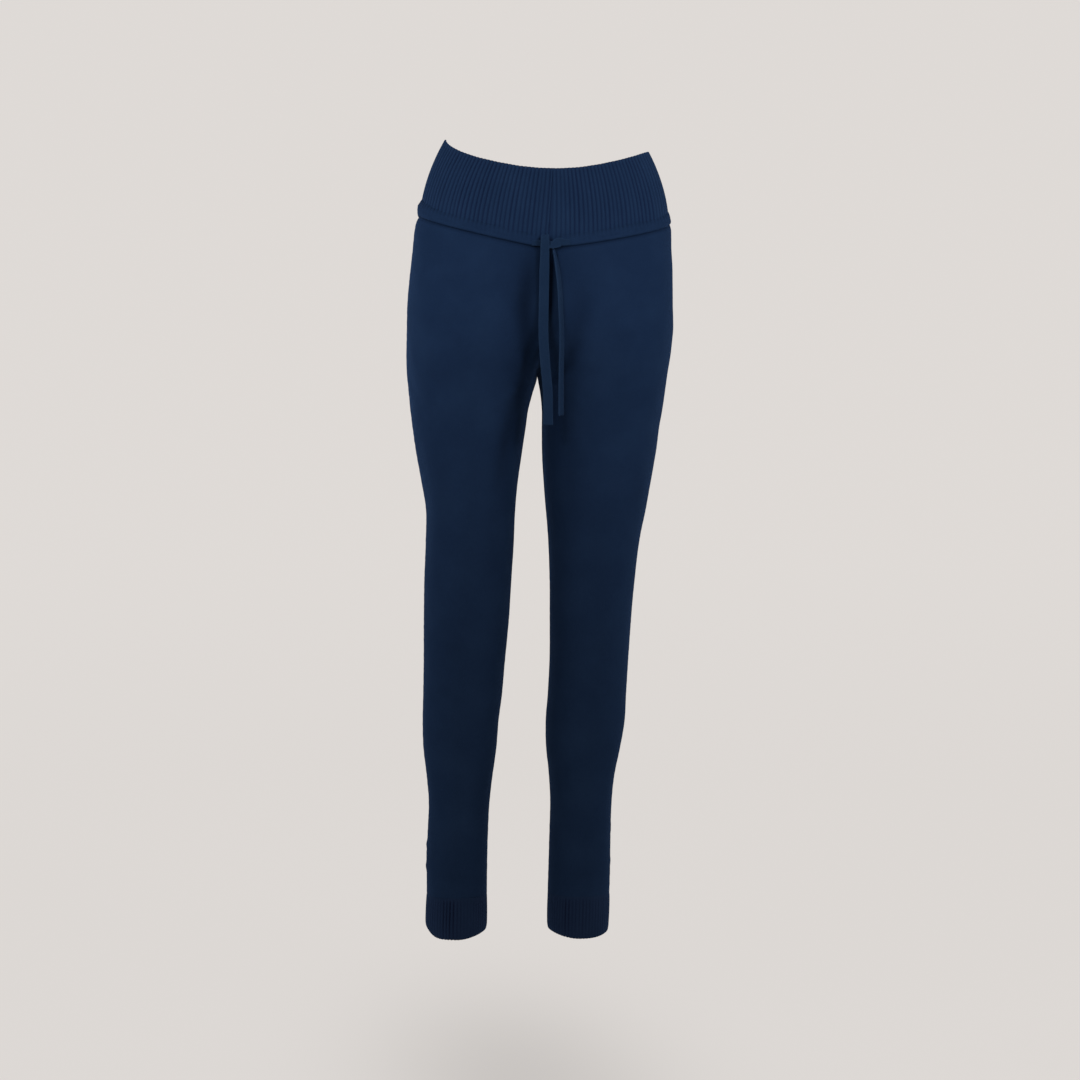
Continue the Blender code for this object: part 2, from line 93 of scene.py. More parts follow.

# %% [markdown]
# ## The camera
#
# A long lens from a little over three metres keeps the legs nearly parallel. It stands a few degrees to the
# wearer's right and level with the thighs, and looks very slightly down. It is made first.

# %% Camera
VIEW_TURN = math.radians(-5.0)
VIEW_DISTANCE = 3.2          # metres
VIEW_HEIGHT = -0.406
VIEW_FALL = 0.064            # how much the line of sight drops by the time it reaches the garment
VIEW_SIDESTEP = -0.008
LENS_MM = 82.0

ahead = Vector((-math.sin(VIEW_TURN), math.cos(VIEW_TURN), 0.0))
beside = Vector((math.cos(VIEW_TURN), math.sin(VIEW_TURN), 0.0))
eye = Vector((0.0, 0.0, VIEW_HEIGHT)) - ahead * VIEW_DISTANCE + beside * VIEW_SIDESTEP
sight = ahead * VIEW_DISTANCE - Vector((0.0, 0.0, VIEW_FALL))

lens = bpy.data.cameras.new("camera")
lens.lens = LENS_MM
lens.sensor_width = 36.0
camera = bpy.data.objects.new("camera", lens)
camera.location = eye
camera.rotation_mode = "QUATERNION"
camera.rotation_quaternion = sight.to_track_quat("-Z", "Y")
bpy.context.scene.collection.objects.link(camera)
bpy.context.scene.camera = camera
print("camera at", [round(v, 3) for v in eye])

# %% [markdown]
# ## Shutting points into a piece
#
# Blender's cloth can be drawn as plain rows and columns of points. Every piece here is either a wall, two
# such sheets with their edges shut, or a tube, rings of points with an end across each side. Both carry a
# UV map measured in metres along the cloth, so that a stitch is the same size everywhere, as on a real
# knit. They also carry an attribute of wear and painted light. It is above 0 where the cloth is rubbed,
# beside seams and on crests, or where a highlight is painted on, and below 0 where shade is painted into
# the colour, in grooves, seams and creases.

# %% From points to a piece
CRISP_TURN = math.radians(55)   # edges that turn more sharply than this stay crisp
made = []                    # each finished piece, with the cloth that it is cut from


def piece_of(name, points, strips, wear_and_painted_light):
    """A smooth-shaded mesh with its faces outwards. Each strip is (faces, their UVs)."""
    volume = 0.0
    for faces, _ in strips:
        first = points[faces[:, 0]]
        for k in range(1, faces.shape[1] - 1):
            volume += np.sum(first * np.cross(points[faces[:, k]], points[faces[:, k + 1]]))
    if volume < 0:
        strips = [(faces[:, ::-1], places[:, ::-1]) for faces, places in strips]
    mesh = bpy.data.meshes.new(name)
    mesh.from_pydata(points.tolist(), [], [face for faces, _ in strips for face in faces.tolist()])
    uv = np.concatenate([places.reshape(-1, 2) for _, places in strips])
    mesh.uv_layers.new(name="cloth").uv.foreach_set("vector", uv.reshape(-1).astype(np.float32))
    mesh.attributes.new("wear_and_painted_light", "FLOAT", "POINT").data.foreach_set("value", wear_and_painted_light.astype(np.float32))
    mesh.shade_smooth()
    mesh.set_sharp_from_angle(angle=CRISP_TURN)
    piece = bpy.data.objects.new(name, mesh)
    bpy.context.scene.collection.objects.link(piece)
    return piece


def hand_over(piece, node, finish, cloth=None):
    """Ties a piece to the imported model, where it takes the place of its node, and notes its cloth, which
    is the finish's own if no other is named."""
    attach(piece, "root")
    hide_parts(node)
    made.append((piece, cloth or finish))


print("points can be shut into a piece")

# %% A wall between two sheets
def wall_piece(name, outer, inner, wear_and_painted_light, closed=False, across=None):
    """A wall between two grids of the same shape. A closed wall joins its last column to its first.
    across gives each column's own place round the piece, where the knit's columns fan out with it."""
    rows, columns = outer.shape[:2]
    ring = np.concatenate([outer, outer[:, :1]], axis=1) if closed else outer
    if across is None:
        u = arc_lengths(ring, 1)
        u -= u[:, -1:] / 2
    else:
        u = np.broadcast_to(across, ring.shape[:2])
    v = arc_lengths(ring, 0)
    skin = rows * columns

    def strip(corners):
        """Faces and their UVs from (row, column, which sheet) for each corner."""
        index = [r * columns + c % columns + skin * sheet for r, c, sheet in corners]
        places = [np.stack([u[r, c], v[r, c]], axis=1) for r, c, _ in corners]
        return np.stack(index, axis=1), np.stack(places, axis=1)

    i, j = np.indices((rows - 1, ring.shape[1] - 1)).reshape(2, -1)
    strips = [
        strip([(i, j, 0), (i, j + 1, 0), (i + 1, j + 1, 0), (i + 1, j, 0)]),
        strip([(i + 1, j, 1), (i + 1, j + 1, 1), (i, j + 1, 1), (i, j, 1)]),
    ]
    j = np.arange(ring.shape[1] - 1)
    top, foot = np.zeros_like(j), np.full_like(j, rows - 1)
    strips.append(strip([(top, j + 1, 0), (top, j, 0), (top, j, 1), (top, j + 1, 1)]))
    strips.append(strip([(foot, j, 0), (foot, j + 1, 0), (foot, j + 1, 1), (foot, j, 1)]))
    if not closed:
        i = np.arange(rows - 1)
        first, last = np.zeros_like(i), np.full_like(i, columns - 1)
        strips.append(strip([(i, first, 0), (i + 1, first, 0), (i + 1, first, 1), (i, first, 1)]))
        strips.append(strip([(i + 1, last, 0), (i, last, 0), (i, last, 1), (i + 1, last, 1)]))
    points = np.concatenate([outer.reshape(-1, 3), inner.reshape(-1, 3)])
    return piece_of(name, points, strips, np.concatenate([wear_and_painted_light.reshape(-1), np.zeros(skin)]))


def outward_normals(grid, outward):
    """The direction straight out of the cloth at each point; outward only says which side is out."""
    normal = unit(np.cross(np.gradient(grid, axis=1), np.gradient(grid, axis=0)))
    return normal * np.sign(np.sum(normal * outward))


print("walls can be made")

# %% A tube through rings
def tube_strips(rings):
    """The faces and UVs of a tube through rings of points, with an end of cloth across each side. The
    ends run between the two halves of the ring, from its first point to the one opposite."""
    count, sides = rings.shape[:2]
    around = np.linalg.norm(np.diff(np.concatenate([rings[:, -1:], rings], axis=1), axis=1), axis=2)
    u = np.concatenate([np.cumsum(around, axis=1) - around[:, :1], around.sum(axis=1)[:, None]], axis=1)
    v = line_lengths(rings.mean(axis=1))
    i, j = np.indices((count - 1, sides)).reshape(2, -1)
    corners = ((i, j), (i, j + 1), (i + 1, j + 1), (i + 1, j))
    faces = np.stack([r * sides + c % sides for r, c in corners], axis=1)
    places = np.stack([np.stack([u[r, c], v[r]], axis=1) for r, c in corners], axis=1)
    strips = [(faces, places)]
    half = sides // 2
    k = np.arange(1, half - 1)
    for base, along, turn in ((0, v[0], 1), ((count - 1) * sides, v[-1], -1)):
        flats = np.stack([sides - k, sides - k - 1, k + 1, k], axis=1) + base
        tips = np.array([[0, sides - 1, 1], [half, half - 1, half + 1]]) + base
        for ends in (flats, tips):
            strips.append((ends[:, ::turn], np.full((*ends.shape, 2), along)))
    return strips


def tube_piece(name, tubes, wear_and_painted_light):
    """One piece from one or more tubes."""
    strips = []
    start = 0
    for rings in tubes:
        strips += [(faces + start, places) for faces, places in tube_strips(rings)]
        start += rings.shape[0] * rings.shape[1]
    points = np.concatenate([rings.reshape(-1, 3) for rings in tubes])
    return piece_of(name, points, strips, wear_and_painted_light)


print("tubes can be made")

# %% [markdown]
# ## Reading a table as a smooth curve
#
# The form is kept in short tables, a row for each height. A smooth curve through each column gives the
# value anywhere between the rows, as a tailor's curve does between chalk marks.

# %% Smooth curves through tables
def curve_through(xs, ys, x):
    """A smooth curve through points, whose slope at each point comes from its two neighbours."""
    x = np.asarray(x, float)
    k = np.arange(len(xs))
    before = np.maximum(k - 1, 0)
    after = np.minimum(k + 1, len(xs) - 1)
    slope = (ys[after] - ys[before]) / (xs[after] - xs[before])
    i = np.clip(np.searchsorted(xs, x) - 1, 0, len(xs) - 2)
    span = xs[i + 1] - xs[i]
    t = (x - xs[i]) / span
    return (
        (2 * t**3 - 3 * t**2 + 1) * ys[i]
        + (t**3 - 2 * t**2 + t) * span * slope[i]
        + (3 * t**2 - 2 * t**3) * ys[i + 1]
        + (t**3 - t**2) * span * slope[i + 1]
    )


def columns_of(rows):
    """A table's columns by name."""
    return {name: np.array([getattr(row, name) for row in rows], float) for name in rows[0]._fields}


def power(value, exponent):
    """A power that keeps the value's sign."""
    return np.sign(value) * np.abs(value) ** exponent


print("tables can be read as curves")

# %% [markdown]
# ## The drawstring
#
# The drawstring is one long flat tape. It leaves the tunnel at two mouths, is crossed once in a half knot,
# and its ends hang free: one flat to the front, the other turned nearly edge-on. A tape is best swept as
# one rounded section along its middle line, because a cloth simulation would lose its thin edges.

# %% The tape
TAPE_WIDTH = 12.5 * MM
TAPE_WALL = 2.4 * MM
TAPE_SIDES = 28
TAPE_SQUARE = 5.0            # how square the tape's section is
SELVEDGE = 0.22              # how much thicker the tape's two edges are than its middle
WEAR_EDGE = 6                # how close to the edges the wear keeps

turn = np.arange(TAPE_SIDES) * 2 * math.pi / TAPE_SIDES
tape_across = power(np.cos(turn), 2 / TAPE_SQUARE)
tape_through = power(np.sin(turn), 2 / TAPE_SQUARE) * (1 - SELVEDGE + SELVEDGE * tape_across**2)


def tape_rings(middles, sideways, facing, widths, walls):
    """The tape's section at each middle: sideways runs across the tape and facing out of its flat side."""
    across = sideways[:, None] * (tape_across[None, :, None] * widths[:, None, None] / 2)
    through = facing[:, None] * (tape_through[None, :, None] * walls[:, None, None] / 2)
    return middles[:, None] + across + through


def tape_wear(rings):
    """The tape is rubbed along its two edges."""
    return np.tile(np.abs(tape_across) ** WEAR_EDGE, rings.shape[0])


print("the tape is", TAPE_WIDTH / MM, "mm wide and", TAPE_WALL / MM, "mm thick")

# %% The drawstring's hanging ends
Hang = namedtuple("Hang", "z x y turn")
# Each end from the knot down, in millimetres; turn is the tape's twist in degrees
TIE_RIGHT = [
    Hang(-105.6, -12.4, -119.9, 3), Hang(-140, -13.4, -122.3, 3), Hang(-178, -14.2, -123.5, 2),
    Hang(-213, -14.5, -124.0, 0), Hang(-248, -12.2, -124.0, -3), Hang(-283, -9.0, -123.5, -4),
    Hang(-324, -8.7, -123.0, -2),
]
TIE_LEFT = [
    Hang(-105.5, -0.8, -118.6, 60), Hang(-125, 2.5, -124.0, 62), Hang(-150, 5.2, -127.4, 63),
    Hang(-178, 6.6, -128.4, 62), Hang(-213, 7.9, -128.6, 62), Hang(-260, 7.4, -127.8, 59),
    Hang(-312, 7.2, -127.2, 58),
]
TIE_ROWS = 150
TIE_END_ROWS = np.array([0.12, 0.05])   # two more rows this near the cut end, in millimetres
TIE_END_ROUND = 1.6 * MM     # the cut ends are a little rounded
TIE_END_NARROWS = 1.2 * MM   # how much narrower they get
TIE_END_FRAY = 0.35          # and how thin
TIE_SPREAD = 16 * MM         # below the knot the tape opens to its full width over this length


def hanging_end(name, hang, top_width):
    """A tie end as a free cord: limp, bare at its cut end, as long as it shows."""
    table = columns_of(hang)
    top, foot = -table["z"][0], -table["z"][-1]
    depth = np.sort(np.append(np.linspace(top, foot, TIE_ROWS + 1), foot - TIE_END_ROWS))
    x, y, twist = (curve_through(-table["z"], table[field], depth) for field in ("x", "y", "turn"))
    middles = np.stack([x, y, -depth], axis=1) * MM
    twist = np.radians(twist)
    level = np.zeros_like(twist)
    sideways = np.stack([np.cos(twist), np.sin(twist), level], axis=1)
    facing = np.stack([-np.sin(twist), np.cos(twist), level], axis=1)
    rounding = np.sqrt(1 - (1 - ramp((foot - depth) * MM, 0, TIE_END_ROUND)) ** 2)
    squeezed = bell((depth - top) * MM, TIE_SPREAD)
    widths = TAPE_WIDTH - TIE_END_NARROWS * (1 - rounding) - (TAPE_WIDTH - top_width) * squeezed
    walls = TAPE_WALL * (TIE_END_FRAY + (1 - TIE_END_FRAY) * rounding)
    rings = tape_rings(middles, sideways, facing, widths, walls)
    piece = tube_piece(f"{name}_tape", [rings], tape_wear(rings))
    hand_over(piece, name, "drawstring_knit")


hanging_end("tie_end_right", TIE_RIGHT, 11.4 * MM)
hanging_end("tie_end_left", TIE_LEFT, 6.0 * MM)

# %% [markdown]
# ## The form of the garment
#
# The legs are two stacks of oval rings, one for each leg, and above the crotch the rings run into each
# other to make the hips. This is how a pair of joggers fills out on a general figure: full at the hips,
# narrow at the ankle, and leaning a little because the weight is on one leg. The rings are the same ones
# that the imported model's plain walls follow.

# %% The outline, level by level
SEAM_GAP = 0.004 * MM        # sewn edges all but touch, so no light comes through a seam
JERSEY_WALL = 2.0 * MM
RIB_WALL = 2.8 * MM
WAIST_TUCK = 2.5 * MM        # the panels are drawn in under the tunnel
CROTCH_Z = -254.0 * MM
CUFF_TOP = -930.0 * MM
SWEEP_DROP = 46.0 * MM       # the crotch row reaches the side seam this far below the crotch
SWEEP_END = 150.0 * MM       # and the rows run level again from here down
SWEEP_CURVE = 2.2            # how early a row drops on its way out
SEAM_FADE = 2.2              # how soon the rows stop following the waist seam's own curve
SEAT_BRIDGE = 0.42           # how far the cloth of the back bridges from one side to the other
SEAT_BRIDGE_HEIGHT = 115.0 * MM   # this far above the crotch it is one sheet

Level = namedtuple("Level", "z centre right_out left_out right_in left_in front back square")
# Millimetres. Above the crotch, right_in and left_in say how far each ring reaches past the centre.
LEVELS = [
    #     z  centre  r_out  l_out   r_in   l_in  front   back  square
    Level(-50, -4.0, -166.5, 162.2, 159.5, -168.0, -106.5, 111.0, 2.30),
    Level(-68, -4.5, -169.9, 162.5, 160.0, -171.0, -108.5, 115.0, 2.30),
    Level(-90, -5.5, -172.1, 162.6, 159.0, -171.0, -111.5, 120.5, 2.32),
    Level(-115, -7.0, -174.8, 164.1, 149.0, -163.0, -115.0, 127.0, 2.34),
    Level(-145, -8.0, -178.0, 164.3, 128.0, -144.0, -118.5, 128.5, 2.36),
    Level(-170, -8.7, -179.7, 164.4, 97.0, -114.0, -120.3, 130.8, 2.36),
    Level(-195, -9.3, -180.1, 164.6, 61.0, -79.5, -120.5, 131.3, 2.34),
    Level(-215, -9.8, -180.4, 162.8, 30.0, -49.5, -119.0, 129.8, 2.32),
    Level(-232, -10.3, -180.5, 160.8, 7.5, -28.5, -116.8, 127.2, 2.30),
    Level(-244, -10.8, -180.3, 158.8, -3.8, -18.0, -115.0, 124.8, 2.28),
    Level(-254, -11.2, -180.0, 157.2, -11.2, -11.2, -113.2, 122.6, 2.26),
    Level(-265, -11.5, -179.1, 155.6, -13.8, -8.6, -111.6, 119.6, 2.24),
    Level(-280, -12.0, -177.8, 153.2, -18.7, -6.2, -109.8, 115.4, 2.22),
    Level(-301, -13.0, -175.8, 150.0, -24.2, -4.8, -107.0, 109.4, 2.20),
    Level(-325, -14.5, -173.0, 145.5, -27.6, -4.9, -104.0, 102.8, 2.20),
    Level(-355, -16.0, -168.8, 141.5, -32.0, -5.0, -100.5, 94.8, 2.18),
    Level(-392, -18.5, -162.1, 134.9, -37.4, -3.3, -96.5, 85.4, 2.16),
    Level(-430, -20.5, -156.1, 127.7, -41.4, -0.6, -93.0, 76.0, 2.15),
    Level(-470, -21.5, -156.4, 119.2, -43.5, 2.3, -89.0, 67.5, 2.14),
    Level(-520, -23.0, -158.4, 113.1, -46.8, 3.6, -84.0, 58.0, 2.12),
    Level(-573, -25.0, -159.2, 108.5, -50.0, 3.7, -78.2, 52.0, 2.10),
    Level(-625, -28.0, -159.3, 105.2, -54.6, 3.8, -71.8, 51.5, 2.10),
    Level(-670, -31.0, -159.8, 102.9, -58.2, 2.0, -65.2, 54.5, 2.10),
    Level(-705, -33.0, -160.4, 101.5, -62.5, -0.3, -60.0, 56.8, 2.10),
    Level(-740, -34.0, -159.3, 96.1, -65.2, 0.4, -54.5, 57.0, 2.08),
    Level(-775, -35.0, -155.2, 89.0, -70.0, 4.0, -49.5, 55.0, 2.06),
    Level(-810, -35.5, -152.4, 85.4, -73.9, 5.8, -45.5, 51.5, 2.04),
    Level(-850, -36.0, -153.9, 84.2, -75.9, 4.7, -42.0, 48.0, 2.02),
    Level(-900, -37.0, -155.4, 83.7, -77.0, 3.2, -39.5, 46.0, 2.00),
    Level(-935, -38.0, -155.9, 83.1, -77.2, 2.2, -38.5, 45.5, 2.00),
    Level(-970, -38.5, -157.2, 81.8, -77.3, 1.6, -38.0, 45.0, 2.00),
]
levels = columns_of(LEVELS)


def at_level(name, z):
    """One column of LEVELS at height z, in metres, or bare for square."""
    value = curve_through(-levels["z"] * MM, levels[name], -np.asarray(z))
    return value if name == "square" else value * MM


print("outline from", LEVELS[0].z, "to", LEVELS[-1].z, "mm")

# %% Points on a leg's ring
def leg_ring(side, face, z):
    """The middle, half width and direction of one leg's ring at height z."""
    outer = at_level(side + "_out", z)
    inner = at_level(side + "_in", z)
    if face == "back":
        whole = 2 * at_level("centre", z) - outer
        bridged = SEAT_BRIDGE * eased(ramp(z, CROTCH_Z, CROTCH_Z + SEAT_BRIDGE_HEIGHT))
        inner = inner + (whole - inner) * bridged
    return (outer + inner) / 2, np.abs(inner - outer) / 2, np.where(inner > outer, 1.0, -1.0)


def ring_point(side, face, z, angle):
    """The point of a leg's ring: angle 0 is its inner end, 90 its front or back, 180 its outer end."""
    z, angle = np.broadcast_arrays(np.asarray(z, float), np.asarray(angle, float))
    middle, half, inward = leg_ring(side, face, z)
    curve = 2 / at_level("square", z)
    front = at_level("front", z)
    back = at_level("back", z)
    y_middle = (front + back) / 2
    reach = (front if face == "front" else back) - y_middle
    a = np.radians(angle)
    x = middle + inward * half * power(np.cos(a), curve)
    y = y_middle + reach * np.maximum(np.sin(a), 0.0) ** curve
    return np.stack([x, y, z], axis=-1)


def first_angle(side, face, z):
    """Where the ring leaves the centre plane: 0 below the crotch."""
    middle, half, inward = leg_ring(side, face, z)
    ratio = np.clip((at_level("centre", z) - middle) * inward / half, 0.0, 1.0)
    angle = np.degrees(np.arccos(ratio ** (at_level("square", z) / 2)))
    return np.where(z <= CROTCH_Z, 0.0, angle)


print("hip ring is", round(2000 * float(leg_ring("right", "front", -0.19)[1])), "mm wide on the right leg")

# %% The waist seam and the rim
Ring = namedtuple("Ring", "centre right left right_z left_z front front_z back back_z")
RIM = Ring(0.0, -131.4, 132.5, 49.0, 34.7, -95.0, 0.8, 95.0, 11.0)
Seam = namedtuple("Seam", "right_z left_z front_z back_z right_straight left_straight")
WAIST_SEAM = Seam(-50.5, -55.5, -100.2, -92.0, 0.55, 0.20)
RIM_SHARPNESS = {"right": 0.80, "left": 0.64}   # how pointed the peaks at the sides are
RIM_ROUND = {"right": 0.1, "left": 0.8}         # how much of the front rim's rise is a plain bow
RIM_BACK_STRAIGHT = 0.15
PEAK_SOFTNESS = 0.09         # how rounded the rim is at the centre line
BACK_SEAM_CURVE = 1.6        # how late the seam climbs towards the sides behind
BAND_BULGE = 6.0 * MM        # how far the band bows out halfway down


def edge_lift(side, across, deep, straight):
    """How far an edge has climbed from centre to side: across and deep run 0 to 1 along the ring."""
    soft = PEAK_SOFTNESS
    line = (np.hypot(across, soft) - soft) / (math.hypot(1.0, soft) - soft)
    return straight * line + (1 - straight) * (1 - np.minimum(deep, 1.0)) ** RIM_SHARPNESS[side]


def along_ring(angle, square):
    """How far across and how far forward a point of a ring is, each from 0 to 1."""
    a = np.radians(np.asarray(angle, float))
    return np.abs(np.cos(a)) ** (2 / square), np.abs(np.sin(a)) ** (2 / square)


def seam_height(side, face, angle):
    """The height of the waist seam at an angle of the hip ring: 90 is the centre, 180 the side."""
    across, deep = along_ring(angle, LEVELS[1].square)
    high = getattr(WAIST_SEAM, side + "_z") * MM
    low = getattr(WAIST_SEAM, face + "_z") * MM
    if face == "back":
        return low + (high - low) * across**BACK_SEAM_CURVE
    return low + (high - low) * edge_lift(side, across, deep, getattr(WAIST_SEAM, side + "_straight"))


def rim_point(side, face, angle):
    """The rim's point at an angle of the topmost ring."""
    across, deep = along_ring(angle, LEVELS[0].square)
    if face == "front":
        bow = RIM_ROUND[side]
        lift = bow * across**2 + (1 - bow) * edge_lift(side, across, deep, 0.0)
    else:
        lift = edge_lift(side, across, deep, RIM_BACK_STRAIGHT)
    low = getattr(RIM, face + "_z")
    z = low + (getattr(RIM, side + "_z") - low) * lift
    x = RIM.centre + (getattr(RIM, side) - RIM.centre) * across
    y_side = (RIM.front + RIM.back) / 2
    return np.stack([x, y_side + (getattr(RIM, face) - y_side) * deep, z], axis=-1) * MM


def band_point(side, face, angle, t):
    """A point of the waistband's outer face: t runs from the rim, 0, to the waist seam, 1."""
    foot = ring_point(side, face, seam_height(side, face, angle), angle)
    top = rim_point(side, face, angle)
    out = foot.copy()
    out[..., 0] -= at_level("centre", foot[..., 2])
    out[..., 2] = 0.0
    out = unit(out)
    foot = foot - out * WAIST_TUCK
    t = np.asarray(t, float)[..., None]
    return top + (foot - top) * t + out * BAND_BULGE * 4 * t * (1 - t)


def band_grid(face, shares, turns):
    """The band's outer face, a row for each share down it and a column for each turn: 0 is the wearer's
    right side, 90 the centre and 180 the left side."""
    grid = np.empty((len(shares), len(turns), 3))
    on_right = turns < 90
    for side, chosen, angle in (("right", on_right, 180 - turns), ("left", ~on_right, turns)):
        grid[:, chosen] = band_point(side, face, angle[None, chosen], shares[:, None])
    return grid


rim_middle, seam_middle = (band_point("left", "front", 90.0, t) for t in (0.0, 1.0))
print("band is", round(float(rim_middle[2] - seam_middle[2]) / MM), "mm deep in front")

# %% [markdown]
# ## Creases and soft waves
#
# Fine jersey that is filled out has few creases, and those it has are soft. Each crease is placed on the
# finished form: a trough or a ridge with its own length, width, depth and bend. On top of that the
# cloth is never quite even, so long shallow waves run down it, a fraction of a millimetre deep. The places
# are given by where a crease's middle lies, seen from the front or from behind.

# %% Creases
Fold = namedtuple("Fold", "x z turn length width depth bow")      # millimetres and degrees
Waves = namedtuple("Waves", "count share narrow wide short long")   # the last four in metres
FOLD_END = 1.5               # how gently a fold's two ends die away
WAVES = [Waves(7, 1.0, 0.06, 0.15, 0.18, 0.50), Waves(5, 0.35, 0.03, 0.07, -0.13, 0.19)]


def fold_relief(grid, folds):
    """How far the folds lift each point of a grid. Each is centred on the point of the cloth nearest to its
    middle, and measured along the cloth from there: turn 0 is level, and 90 upright."""
    across = arc_lengths(grid, 1)
    down = arc_lengths(grid, 0)
    relief = np.zeros(grid.shape[:2])
    for fold in folds:
        away = (grid[..., 0] - fold.x * MM) ** 2 + (grid[..., 2] - fold.z * MM) ** 2
        i, j = np.unravel_index(np.argmin(away), away.shape)
        right_way = np.sign(grid[i, -1, 0] - grid[i, 0, 0])
        dx = (across - across[:, j : j + 1]) * right_way / MM
        dz = -(down - down[i : i + 1, :]) / MM
        a = math.radians(fold.turn)
        along = (dx * math.cos(a) + dz * math.sin(a)) / (fold.length / 2)
        beside = -dx * math.sin(a) + dz * math.cos(a) - fold.bow * (1 - along**2)
        ends = np.clip(1 - along**2, 0.0, None) ** FOLD_END
        relief += fold.depth * MM * bell(beside, fold.width) * ends
    return relief


def soft_waves(grid, seed, depth):
    """Long shallow waves: a few seeded sine waves that run mostly down the cloth."""
    across = arc_lengths(grid, 1)
    down = arc_lengths(grid, 0)
    chance = np.random.default_rng(seed)
    relief = np.zeros(grid.shape[:2])
    for waves in WAVES:
        for _ in range(waves.count):
            wide = chance.uniform(waves.narrow, waves.wide)
            long = chance.uniform(waves.short, waves.long)
            phase = chance.uniform(0, 2 * math.pi)
            relief += waves.share / waves.count * np.sin(2 * math.pi * (across / wide + down / long) + phase)
    return relief * depth


print("creases and waves are ready")

# %% [markdown]
# ## The leg panels
#
# Four panels are cut: two fronts and two backs. They meet at the side seams, at the rise in the middle of
# the hips and at the inseams. A sewn seam draws the cloth in along its line and puckers it a little, so the
# rows of points crowd together near each edge, where the dip and the pucker need them.

# %% Rows and columns of a panel
HIP_ROWS = 80
LEG_ROWS = 215
LEG_ROW_GROWTH = 1.08        # the rows grow a little further apart down the leg
FINE_STEPS = 401             # even steps at which lengths are measured
EDGE_STEPS = np.array([0.0, 0.5, 1.1, 1.8, 2.7, 3.8, 5.2]) * MM   # columns near a seam
PANEL_COLUMNS = 76


def panel_rows(side, face):
    """For each row: its height at the inner edge, its height at the side seam, and its share of the waist
    seam's own curve."""
    top = float(seam_height(side, face, 90.0))
    side_top = float(seam_height(side, face, 180.0))
    fine = CROTCH_Z + (top - CROTCH_Z) * (1 - np.linspace(0, 1, FINE_STEPS)) ** 2
    rise = ring_point(side, face, fine, first_angle(side, face, fine))
    length = line_lengths(rise[:, 1:])
    s = np.linspace(0, 1, HIP_ROWS + 1)
    z_in = np.interp(length[-1] * s, length, fine)
    z_out = side_top + (CROTCH_Z - SWEEP_DROP - side_top) * s
    share = np.maximum(0.0, 1 - SEAM_FADE * s) ** 2
    leg = CROTCH_Z + (CUFF_TOP - CROTCH_Z) * (np.arange(1, LEG_ROWS + 1) / LEG_ROWS) ** LEG_ROW_GROWTH
    below = np.minimum((CROTCH_Z - leg) / SWEEP_END, 1.0)
    return (
        np.concatenate([z_in, leg]),
        np.concatenate([z_out, leg - SWEEP_DROP * (1 - below) ** 2]),
        np.concatenate([share, np.zeros(LEG_ROWS)]),
    )


def panel_points(side, face, rows, u):
    """Points of the panel: u runs from 0 at the inner edge to 1 at the side seam, in each row."""
    z_in, z_out, share = (column[:, None] for column in rows)
    start = first_angle(side, face, z_in)
    angle = start + (180.0 - start) * u
    z = z_in + (z_out - z_in) * (1 - (1 - u) ** SWEEP_CURVE)
    top_in = seam_height(side, face, 90.0)
    top_out = seam_height(side, face, 180.0)
    own = seam_height(side, face, np.maximum(angle, 90.0))
    lifted = z_in + (z_out - z_in) * (own - top_in) / (top_out - top_in)
    z = z + (lifted - z) * share
    return ring_point(side, face, z, np.maximum(angle, first_angle(side, face, z)))


def panel_grid(side, face):
    """The panel's plain outer face, with its columns evenly spread but for the crowded ones at the seams,
    and each point's distance from the two edges."""
    rows = panel_rows(side, face)
    fine = np.linspace(0, 1, FINE_STEPS)[None, :] * np.ones((len(rows[0]), 1))
    length = arc_lengths(panel_points(side, face, rows, fine), 1)
    whole = length[:, -1:]
    middle = np.linspace(0, 1, PANEL_COLUMNS - 2 * len(EDGE_STEPS) + 2)[None, 1:-1]
    inset = EDGE_STEPS[-1]
    wanted = np.concatenate([
        EDGE_STEPS[None, :] + 0 * whole,
        inset + (whole - 2 * inset) * middle,
        whole - EDGE_STEPS[None, ::-1],
    ], axis=1)
    u = np.stack([np.interp(want, row, fine[0]) for want, row in zip(wanted, length)])
    u[:, 0], u[:, -1] = 0.0, 1.0
    return panel_points(side, face, rows, u), wanted, whole - wanted


grid, from_inner, from_side = panel_grid("right", "front")
print("a panel has", grid.shape[0], "rows of", grid.shape[1], "points; it is",
      round(float(arc_lengths(grid, 0)[-1, 40]), 3), "m long")

# %% Seams that draw the cloth in
SEAM_DIP = 0.9 * MM
SEAM_DIP_WIDTH = 2.2 * MM
FOOT_DIP = 0.15 * MM         # the cuff seam is flatter
PUCKER_DEPTH = 0.35 * MM
PUCKER_REACH = 9.0 * MM
PUCKER_CLEAR = 2.0 * MM      # the stitches themselves lie flat
PUCKER_PERIODS = (0.0075, 0.0112, 0.0171)   # metres
PUCKER_DRIFT = (0.08, 0.2)   # the ripples crowd and spread over a length between these, in metres
PUCKER_WANDER = 2.5
RISE_STRAIGHTENS = 14 * MM   # near the rise the cloth only moves straight back, so that its seam stays shut
Crease = namedtuple("Crease", "depth width sharp top full lasts foot")
# Millimetres. The last four are the heights where the crease starts, is full, begins to fade and ends.
RISE_CREASES = {
    "front": Crease(7.5, 8.0, 4, -103, -112, -172, -212),
    "back": Crease(2.2, 9.0, 2, -110, -170, -225, -252),
}
Bump = namedtuple("Bump", "z depth height")
SEAM_BUMPS = {               # millimetres
    "right": [Bump(-865, 1.1, 4.0), Bump(-877, 0.9, 15), Bump(-894, 1.3, 4.5)],
    "left": [Bump(-846, 0.5, 5.0), Bump(-889, 0.4, 4.5)],
}
BUMP_REACH = 11.0 * MM


